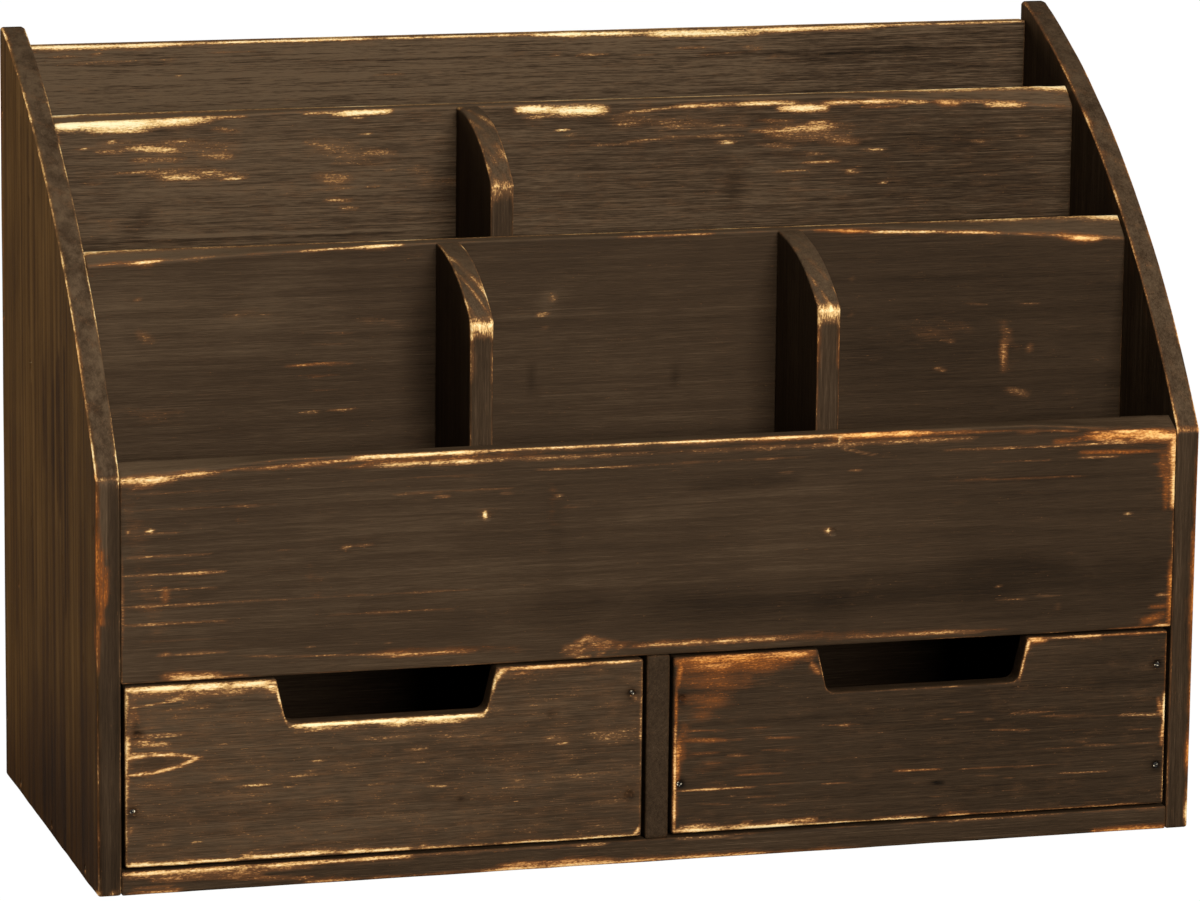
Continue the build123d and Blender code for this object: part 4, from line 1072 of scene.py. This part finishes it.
KNOT_LINE = [
    (-181, 46.2), (-172, 47), (-163, 46.6), (-156.4, 45.2), (-163, 42.6), (-172, 40.8), (-181, 40.6),
]
LEFT_FRONT_WEAR = [(*a, *b, 0.7, 1.15, 0.4) for a, b in zip(KNOT_LINE, KNOT_LINE[1:])]
LEFT_FRONT_WEAR += [
    (-44, 44.4, -28, 43.6, 3, 0.46, 0.2), (-24, 44.6, -8, 44, 3, 0.5, 0.2),
    (-50, 31, -20, 30.4, 3, 0.42, 0.2), (-9, 58, -7, 56, 1.6, 0.55, 0.3),
    (-178, 67.2, -134, 67, 1.6, 0.72, 0.3), (-176, 61.4, -150, 62.4, 1.2, 0.46, 0.3),
    (-170, 59, -140, 59.6, 1.2, 0.4, 0.3), (-178, 53.4, -160, 53.8, 1, 0.7, 0.3),
    (-179, 50.6, -166, 50.4, 1.4, 0.72, 0.3), (-178, 56, -166, 56.2, 0.8, 0.45, 0.4),
    (-181, 69.2, -160, 69, 1.3, 1.35, 0.25), (-160, 68.8, -146, 69, 1.8, 1.4, 0.2),
    (-146, 68.8, -131, 69, 1.7, 1.35, 0.25), (-134, 68, -130, 67, 1.5, 1.2, 0.25),
    (-130.2, 67, -128.6, 61, 0.9, 1.25, 0.2), (-128.6, 61, -126.8, 55, 0.7, 1.1, 0.3),
    (-126, 54, -60, 54, 0.85, 1.4, 0.09), (-124, 53, -104, 52.8, 0.94, 0.8, 0.16),
    (-96, 53.2, -66, 52.8, 1.1, 1.1, 0.11), (-59.6, 54.8, -57.6, 62, 0.68, 1.15, 0.11),
    (-57.6, 62, -55.8, 68, 1.2, 1.3, 0.2), (-56, 66, -53.6, 69, 1.4, 1.25, 0.3),
    (-54, 69.2, -24, 69.4, 0.8, 1.15, 0.55), (-24, 69.5, -6, 69.6, 0.6, 1.15, 0.35),
    (-52, 67.6, -44, 67.8, 0.8, 0.6, 0.6), (-178, 63.2, -158, 65.4, 0.5, 0.95, 0.3),
    (-158, 65.4, -140, 66.6, 0.45, 0.85, 0.3), (-176, 67.4, -150, 67.2, 1, 0.62, 0.6),
    (-181, 47.6, -168, 47.4, 0.8, 1, 0.3), (-180, 36, -178, 68, 3, 0.45, 0.6),
    (-181, 9, -181, 69, 1, 1.15, 0.2), (-181, 60, -180.4, 69, 1.6, 1.15, 0.25),
    (-180.6, 46.5, -180.2, 53, 1.8, 1.1, 0.35), (-180.6, 33, -180.2, 41, 1.3, 1.05, 0.35),
    (-180.8, 40, -180.4, 47, 1.2, 1.2, 0.4), (-179, 51.4, -172, 51.8, 1.4, 0.8, 0.4),
    (-172, 52.8, -162, 53.2, 0.51, 0.72, 0.16), (-174, 49, -160, 48.6, 1.02, 0.46, 0.23),
    (-178, 63, -176, 58, 1.4, 0.5, 0.6), (-181, 10.2, -158, 9.9, 0.9, 1.3, 0.25),
    (-158, 10.2, -142, 9.9, 0.7, 1.3, 0.3), (-142, 10.4, -110, 10.6, 0.8, 1.3, 0.3),
    (-110, 10.2, -86, 10, 0.8, 1.35, 0.3), (-142, 11.6, -138, 11.4, 0.7, 0.8, 0.3),
    (-126, 11.6, -110, 11.4, 0.6, 0.6, 0.4), (-86, 9.9, -56, 9.6, 0.6, 0.8, 0.4),
    (-81, 11.6, -80, 9.8, 0.6, 0.85, 0.3), (-56, 9.7, -30, 9.5, 0.6, 1.2, 0.4),
    (-30, 9.6, -6, 9.7, 0.6, 1.2, 0.3), (-8, 9.6, -6, 12, 0.9, 1.2, 0.35),
    (-6, 12, -6, 30, 0.4, 0.56, 0.4), (-6, 30, -6, 69, 0.45, 0.7, 0.3), (-6, 42, -6, 47, 0.6, 0.8, 0.3),
    (-143, 34.8, -132, 34.8, 0.59, 0.92, 0.18), (-126, 37, -110, 37.2, 0.51, 0.6, 0.18),
    (-152, 37.6, -140, 37.4, 1.02, 0.52, 0.23), (-118, 41.8, -114, 41.6, 0.51, 0.85, 0.16),
    (-121, 38.6, -117, 38.4, 0.51, 0.8, 0.14), (-110, 40.4, -102, 39.8, 1.19, 0.55, 0.16),
    (-104, 48.4, -86, 48, 1.19, 0.5, 0.18), (-80, 47.8, -62, 47, 1.19, 0.48, 0.18),
    (-88, 43.8, -80, 43.6, 0.59, 0.55, 0.18), (-84, 39.2, -80, 39.2, 0.51, 0.8, 0.18),
    (-79, 30.8, -72, 30.6, 0.51, 0.82, 0.16), (-100, 32.6, -94, 32.6, 0.51, 0.7, 0.16),
    (-118, 27.8, -106, 27.6, 0.51, 0.52, 0.18), (-148, 31.8, -136, 31.6, 0.68, 0.5, 0.18),
    (-128, 33.6, -124, 33.4, 0.51, 0.7, 0.18), (-178, 37, -160, 36, 3, 0.4, 0.5),
    (-176, 27, -158, 24, 2.89, 0.4, 0.23), (-174, 16.6, -166, 16.4, 0.68, 0.6, 0.14),
    (-158, 16.8, -156, 16.8, 0.68, 0.8, 0.14), (-142, 17.4, -130, 17.4, 0.59, 0.55, 0.18),
    (-120, 13.8, -100, 14, 1.02, 0.42, 0.18), (-60, 46, -52, 45.6, 0.59, 0.6, 0.23),
    (-40, 45.2, -36, 45, 0.59, 0.8, 0.18), (-34, 42.8, -31, 42.8, 0.68, 0.8, 0.23),
    (-24, 45.6, -8, 45.4, 1.36, 0.56, 0.18), (-24, 41.6, -8, 41.6, 1.02, 0.44, 0.2),
    (-34, 32, -14, 31.6, 0.51, 0.55, 0.18), (-54, 28.8, -46, 28.6, 0.59, 0.62, 0.18),
    (-30, 21.6, -10, 21.6, 1.36, 0.42, 0.2), (-44, 36.4, -30, 36.4, 1.36, 0.4, 0.2),
    (-17, 23.8, -16.4, 23.8, 0.51, 0.9, 0.05), (-68, 17.4, -66, 17.2, 0.85, 0.6, 0.14),
    (-180, 20, -178, 24, 1.4, 0.5, 0.4), (-150, 58.8, -128, 58.4, 2.21, 0.3, 0.23),
    (-52, 56, -20, 56, 2.55, 0.28, 0.2), (-100, 22, -70, 22, 2.55, 0.3, 0.18),
]
LEFT_FRONT_SHADES = [
    (-178, 43.8, -168, 44, 1.6, -0.2), (-168, 44.2, -161, 44.8, 1, -0.14),
    (-37, 53.2, -36.6, 53, 1, -0.5), (-68, 26, -67.6, 25.8, 0.9, -0.45),
    (-178, 55.6, -177, 58.5, 0.9, -0.22), (-78, 32, -70, 34, 3, -0.06), (-50, 14, -20, 16, 6, -0.05),
]
RIGHT_FRONT_WEAR = [
    (6, 68.4, 36, 68.6, 1.7, 1, 0.95), (36, 68.6, 54, 68.8, 1.6, 1.1, 0.85),
    (8, 69.5, 52, 69.5, 0.5, 0.95, 0.8), (8, 67, 52, 67.4, 1.5, 0.7, 1),
    (10, 66, 26, 66.4, 0.8, 0.9, 0.75), (6.6, 60, 8, 69, 1.4, 0.8, 1), (10, 65.6, 46, 66, 3.2, 0.65, 1),
    (9, 62, 30, 61, 4.6, 0.56, 1), (8, 56, 26, 54, 3.8, 0.47, 1), (8, 50, 22, 49, 3.4, 0.4, 1),
    (7, 30, 9, 46, 2.6, 0.45, 1), (52, 67, 56, 62, 1.4, 0.75, 0.8), (10, 62.4, 22, 61.8, 0.7, 0.7, 0.9),
    (24, 60.6, 34, 60.2, 0.41, 0.5, 0.8), (12, 52.4, 18, 52.2, 0.49, 0.59, 0.9),
    (6, 9, 6, 46, 0.8, 1.1, 0.6), (6.8, 28, 7.2, 42, 1.2, 0.9, 0.9), (6.2, 46, 6.2, 60, 0.8, 0.85, 1),
    (7.4, 40, 7.8, 37, 0.9, 0.85, 0.9), (55.8, 68, 59, 56, 0.5, 0.95, 0.45),
    (60, 54.6, 126, 54.6, 0.34, 0.63, 0.3), (127.4, 56, 129.6, 65, 0.6, 1, 0.5),
    (129.6, 65, 130.6, 69, 1, 1.25, 0.5), (131, 69.4, 136, 69, 1.2, 1.1, 0.75),
    (138, 69.4, 156, 69.5, 0.6, 1.1, 0.45), (156, 69.5, 181, 69.4, 0.5, 0.85, 0.8),
    (180.4, 36, 180.4, 48, 1, 1.35, 0.3), (179.6, 30, 180.2, 38, 1, 1, 0.6),
    (180.6, 9, 180.6, 34, 0.6, 1, 0.3), (178, 46, 179.6, 40, 1.2, 0.8, 0.7),
    (180.6, 48, 180.6, 69, 0.6, 0.85, 0.75), (6, 10.2, 26, 9.8, 1.1, 1.2, 0.35),
    (26, 9.8, 54, 9.4, 1, 1.35, 0.3), (8, 11.6, 52, 9.6, 0.5, 1, 0.3), (30, 11.8, 34, 10.2, 0.8, 1, 0.5),
    (48, 11.4, 56, 11.2, 1.2, 0.95, 0.5), (40, 11.4, 48, 10.6, 1, 0.8, 0.5),
    (54, 9.6, 76, 9.4, 0.6, 1.25, 0.35), (76, 9.6, 96, 9.5, 0.7, 1.3, 0.35),
    (100, 9.6, 112, 9.4, 0.7, 1.1, 0.6), (112, 9.5, 172, 9.4, 0.5, 0.8, 0.6),
    (6, 24, 34, 23.8, 0.5, 0.92, 0.45), (34, 24.4, 50, 24.2, 0.41, 0.5, 0.5),
    (27, 28.2, 44, 28, 0.41, 0.63, 0.75), (9, 44.6, 24, 44, 0.49, 0.6, 0.75),
    (24, 44.4, 42, 44, 0.49, 0.42, 0.7), (8, 41.4, 24, 40.6, 1.1, 0.66, 0.9),
    (24, 40.6, 30, 40.4, 0.66, 0.5, 0.8), (38, 40.4, 50, 40, 0.49, 0.66, 0.6),
    (12, 36.6, 22, 36.4, 0.9, 0.5, 0.8), (24, 35.2, 30, 34.8, 0.49, 0.76, 0.45),
    (36, 36.4, 46, 35.8, 0.49, 0.63, 0.5), (16, 33, 22, 32.6, 0.49, 0.5, 0.7),
    (13, 19.2, 26, 18.2, 0.49, 0.5, 0.5), (26, 21.2, 27, 21, 0.41, 0.67, 0.2),
    (32, 20.4, 42, 20, 0.49, 0.6, 0.5), (36, 17.6, 46, 16.8, 0.49, 0.6, 0.4),
    (58, 23.4, 68, 23.2, 0.41, 0.52, 0.5), (64, 43.4, 67, 43.2, 0.49, 0.76, 0.4),
    (56, 43.6, 72, 43.4, 0.33, 0.46, 0.6), (84, 26.3, 100, 26, 0.41, 0.76, 0.7),
    (100, 43.4, 104, 43.2, 0.41, 0.63, 0.4), (104, 45.4, 112, 45.2, 0.41, 0.5, 0.5),
    (116, 42.6, 118, 42.4, 0.57, 0.59, 0.4), (118, 38.6, 132, 37.8, 0.41, 0.77, 0.5),
    (106, 25.6, 126, 25.4, 0.41, 0.63, 0.5), (112, 23, 120, 22.4, 0.41, 0.52, 0.4),
    (124, 25.2, 142, 25.2, 0.33, 0.5, 0.5), (124, 44, 140, 43.8, 0.49, 0.52, 0.5),
    (136, 42.4, 152, 41.8, 0.41, 0.55, 0.5), (152, 41.6, 176, 40.8, 0.33, 0.48, 0.4),
    (164, 41.2, 181, 40.4, 0.6, 0.94, 0.25), (168, 36, 176, 35.6, 0.41, 0.48, 0.5),
    (132, 31, 150, 30.6, 0.33, 0.48, 0.5), (148, 32.6, 153, 32.4, 0.41, 0.49, 0.4),
    (152, 31.2, 163, 30.8, 0.41, 0.66, 0.35), (164, 30.8, 178, 30.8, 0.33, 0.45, 0.4),
    (142, 22, 160, 21.6, 0.41, 0.62, 0.35), (123, 21.6, 126, 21.4, 0.41, 0.59, 0.4),
    (96, 16.6, 100, 16.4, 0.41, 0.6, 0.4), (142, 36.8, 152, 36.6, 0.41, 0.38, 0.5),
    (122, 17.2, 128, 17, 0.33, 0.42, 0.4), (146, 14.6, 152, 14.4, 0.33, 0.34, 0.4),
    (10, 30, 50, 34, 6, 0.23, 0.9),
]
RIGHT_FRONT_SHADES = [
    (97.5, 21.4, 100, 21.2, 0.8, -0.5), (70, 47, 120, 48, 5, -0.05), (100, 18, 160, 16, 7, -0.04),
    (134, 62, 176, 58, 8, 0.03),
]
FRONTS = {
    # side, where its wood was cut, how light its stain is, length of its flecks, how worn it is all
    # over, its strokes and shades, seed
    "left": (-1, (30.0, 16.0, 40.0), 0.125, 3.0, 0.26, LEFT_FRONT_WEAR, LEFT_FRONT_SHADES, 61),
    "right": (1, (110.0, 34.0, 42.0), -0.075, 7.0, 0.15, RIGHT_FRONT_WEAR, RIGHT_FRONT_SHADES, 67),
}
for hand, (side, cut, tone, fleck, ground, wear, shades, seed) in FRONTS.items():
    body = f"drawer_{hand}"
    middle = side * DRAWER_MIDDLE
    face_finish = stained_pine(f"pine_{body}_front", "X", cut, pith=(70.0 + 30 * side, -150.0), spacing=3.8,
                               tone=tone, coarse=0.85, fleck=fleck)
    wall_finish = stained_pine(f"ply_{body}_sides", "Y", cut, pith=(30.0, 0.0), spacing=5.0, tone=-0.04)
    floor_finish = stained_pine(f"ply_{body}_floor", "X", cut, pith=(60.0, 0.0), spacing=6.0, tone=-0.05)
    front = board(f"{body}_face", f"{body}_front", body, ACROSS, face_finish, DRAWER, seed=seed,
                  step=(1.8, 0.5), dents=heads_in(f"{body}_front_nails"), extra=notch_stations(middle))
    paint_wear(front, ACROSS, FRONT, wear, shades, edges=0.62, edge_amber=0.45, ground=ground)
    lighten_left(front, middle)
    for head, _, _ in nails[f"{body}_front_nails"]:
        add_shade(front, round_head(head), NAIL_DARK_RING[1])
    walls = {"side_inner": (SIDE_AXES, wall_finish), "side_outer": (SIDE_AXES, wall_finish),
             "back": (ACROSS, floor_finish), "bottom": (FLAT, floor_finish)}
    for part, (axes, finish) in walls.items():
        piece = board(f"{body}_box_{part}", f"{body}_{part}", body, axes, finish, "drawer_ply",
                      felt=part != "bottom", seed=seed + len(part), radius=(0.2, 0.5), step=(4.0, 4.0))
        paint_wear(piece, axes, 0, edges=0.45, edge_amber=0.5, ground=0.08)
print("drawers ready")

# %% [markdown]
# ## Nails
# Ninety small nails hold the boards. One rule sets them all: a point for each, carrying the way
# it looks and its length, gets a flat head and a shank, turned a little and sunk a little
# unevenly, as a hammer leaves them.

# %% Nails
NAIL_SIZES = {"Head radius": 0.85 * MM, "Head height": 0.35 * MM, "Shank radius": 0.55 * MM,
              "Lean": 0.05, "Sink": 0.12 * MM}


def nail_rule(paint):
    """The Geometry Nodes tree that turns points into nails."""
    tree = bpy.data.node_groups.new("nails", "GeometryNodeTree")
    face = tree.interface
    face.new_socket(name="Points", in_out="INPUT", socket_type="NodeSocketGeometry")
    for name, value in NAIL_SIZES.items():
        face.new_socket(name=name, in_out="INPUT", socket_type="NodeSocketFloat").default_value = value
    face.new_socket(name="Seed", in_out="INPUT", socket_type="NodeSocketInt").default_value = 7
    face.new_socket(name="Nails", in_out="OUTPUT", socket_type="NodeSocketGeometry")
    given = node(tree, "NodeGroupInput").outputs

    def made(kind, inputs, **settings):
        return node(tree, kind, inputs, **settings).outputs[0]

    def stored(name, kind):
        return made("GeometryNodeInputNamedAttribute", {"Name": name}, data_type=kind)

    def scaled(vector, size):
        return made("ShaderNodeVectorMath", {0: vector, "Scale": size}, operation="SCALE")

    way, length = stored("way", "FLOAT_VECTOR"), stored("length", "FLOAT")
    lean = scaled((1, 1, 1), given["Lean"])
    stray = made("FunctionNodeRandomValue", {0: scaled(lean, -1.0), 1: lean, "Seed": given["Seed"]},
                 data_type="FLOAT_VECTOR")
    aimed = made("ShaderNodeVectorMath", {0: way, 1: stray}, operation="ADD")
    turn = made("FunctionNodeAlignRotationToVector", {"Vector": aimed}, axis="Z")
    drop = node(tree, "FunctionNodeRandomValue", {2: 0.0, 3: given["Sink"], "Seed": given["Seed"]},
                data_type="FLOAT").outputs[1]
    placed = made("GeometryNodeSetPosition", {"Geometry": given["Points"], "Offset": scaled(way, drop)})
    head = made("GeometryNodeMeshCylinder", {"Vertices": 20, "Radius": given["Head radius"],
                                             "Depth": given["Head height"]}, fill_type="TRIANGLE_FAN")
    half = math_node(tree, "MULTIPLY", given["Head height"], 0.5)
    lift = made("ShaderNodeCombineXYZ", {2: half})
    head = made("GeometryNodeTransform", {"Geometry": head, "Translation": lift})
    shank = made("GeometryNodeMeshCylinder", {"Vertices": 10, "Radius": given["Shank radius"],
                                              "Depth": 1.0})
    shank = made("GeometryNodeTransform", {"Geometry": shank, "Translation": (0, 0, 0.5)})
    size = made("ShaderNodeCombineXYZ", {0: 1.0, 1: 1.0, 2: length})
    on_points = {"Points": placed, "Rotation": turn}
    heads = made("GeometryNodeInstanceOnPoints", {**on_points, "Instance": head})
    shanks = made("GeometryNodeInstanceOnPoints", {**on_points, "Instance": shank, "Scale": size})
    joined = node(tree, "GeometryNodeJoinGeometry")
    for part in (shanks, heads):
        tree.links.new(part, joined.inputs[0])
    real = made("GeometryNodeRealizeInstances", {0: joined.outputs[0]})
    done = made("GeometryNodeSetMaterial", {"Geometry": real, "Material": paint})
    node(tree, "NodeGroupOutput", {0: done})
    return tree


steel, tree = empty_material("stained_steel")
here = node(tree, "ShaderNodeTexCoord").outputs["Object"]
speckle_and_glint = node(tree, "ShaderNodeTexNoise", {"Vector": here, "Scale": 1100.0, "Detail": 2.0}).outputs[0]
# dark stained steel, and in its brightest stop a painted glint on the nail heads
STEEL_AND_GLINT = [(0.40, (0.006, 0.004, 0.003)), (0.53, (0.025, 0.018, 0.013)), (0.57, (0.90, 0.78, 0.55))]
shine = fit(tree, speckle_and_glint, 0.0, 1.0, 0.4, 0.7)
shader = node(tree, "ShaderNodeBsdfPrincipled",
              {"Base Color": ramp(tree, speckle_and_glint, STEEL_AND_GLINT), "Roughness": shine, "Metallic": 0.2})
node(tree, "ShaderNodeOutputMaterial", {"Surface": shader.outputs[0]})

rule = nail_rule(steel)
NAIL_SEEDS = {"case": 5, "drawer_left": 11, "drawer_right": 17}
for body, seed in NAIL_SEEDS.items():
    groups = [n for n in nails if body_of(frame["nodes"][n]) == [body]]
    rows = [row for group in groups for row in nails[group]]
    mesh = bpy.data.meshes.new(f"{body}_nail_points")
    mesh.from_pydata([tuple(head * MM) for head, _, _ in rows], [], [])
    ways = np.array([way for _, way, _ in rows]).ravel()
    lengths = np.array([length * MM for _, _, length in rows])
    mesh.attributes.new("way", "FLOAT_VECTOR", "POINT").data.foreach_set("vector", ways)
    mesh.attributes.new("length", "FLOAT", "POINT").data.foreach_set("value", lengths)
    points = bpy.data.objects.new(f"{body}_nail_points", mesh)
    bpy.context.scene.collection.objects.link(points)
    modifier = points.modifiers.new("nails", "NODES")
    modifier.node_group = rule
    socket = next(i for i in rule.interface.items_tree if i.name == "Seed")
    modifier[socket.identifier] = seed
    solved = points.evaluated_get(bpy.context.evaluated_depsgraph_get())
    shaped = bpy.data.meshes.new_from_object(solved)
    shaped.name = f"{body}_nails"
    piece = bpy.data.objects.new(f"{body}_nails", shaped)
    bpy.context.scene.collection.objects.link(piece)
    bpy.data.objects.remove(points)
    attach(piece, body)
    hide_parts(*groups)
    print(body, "nails", len(rows), "faces", len(shaped.polygons))

# %% [markdown]
# ## The finished sorter
# The lesson ends.

# %% Finish
import json
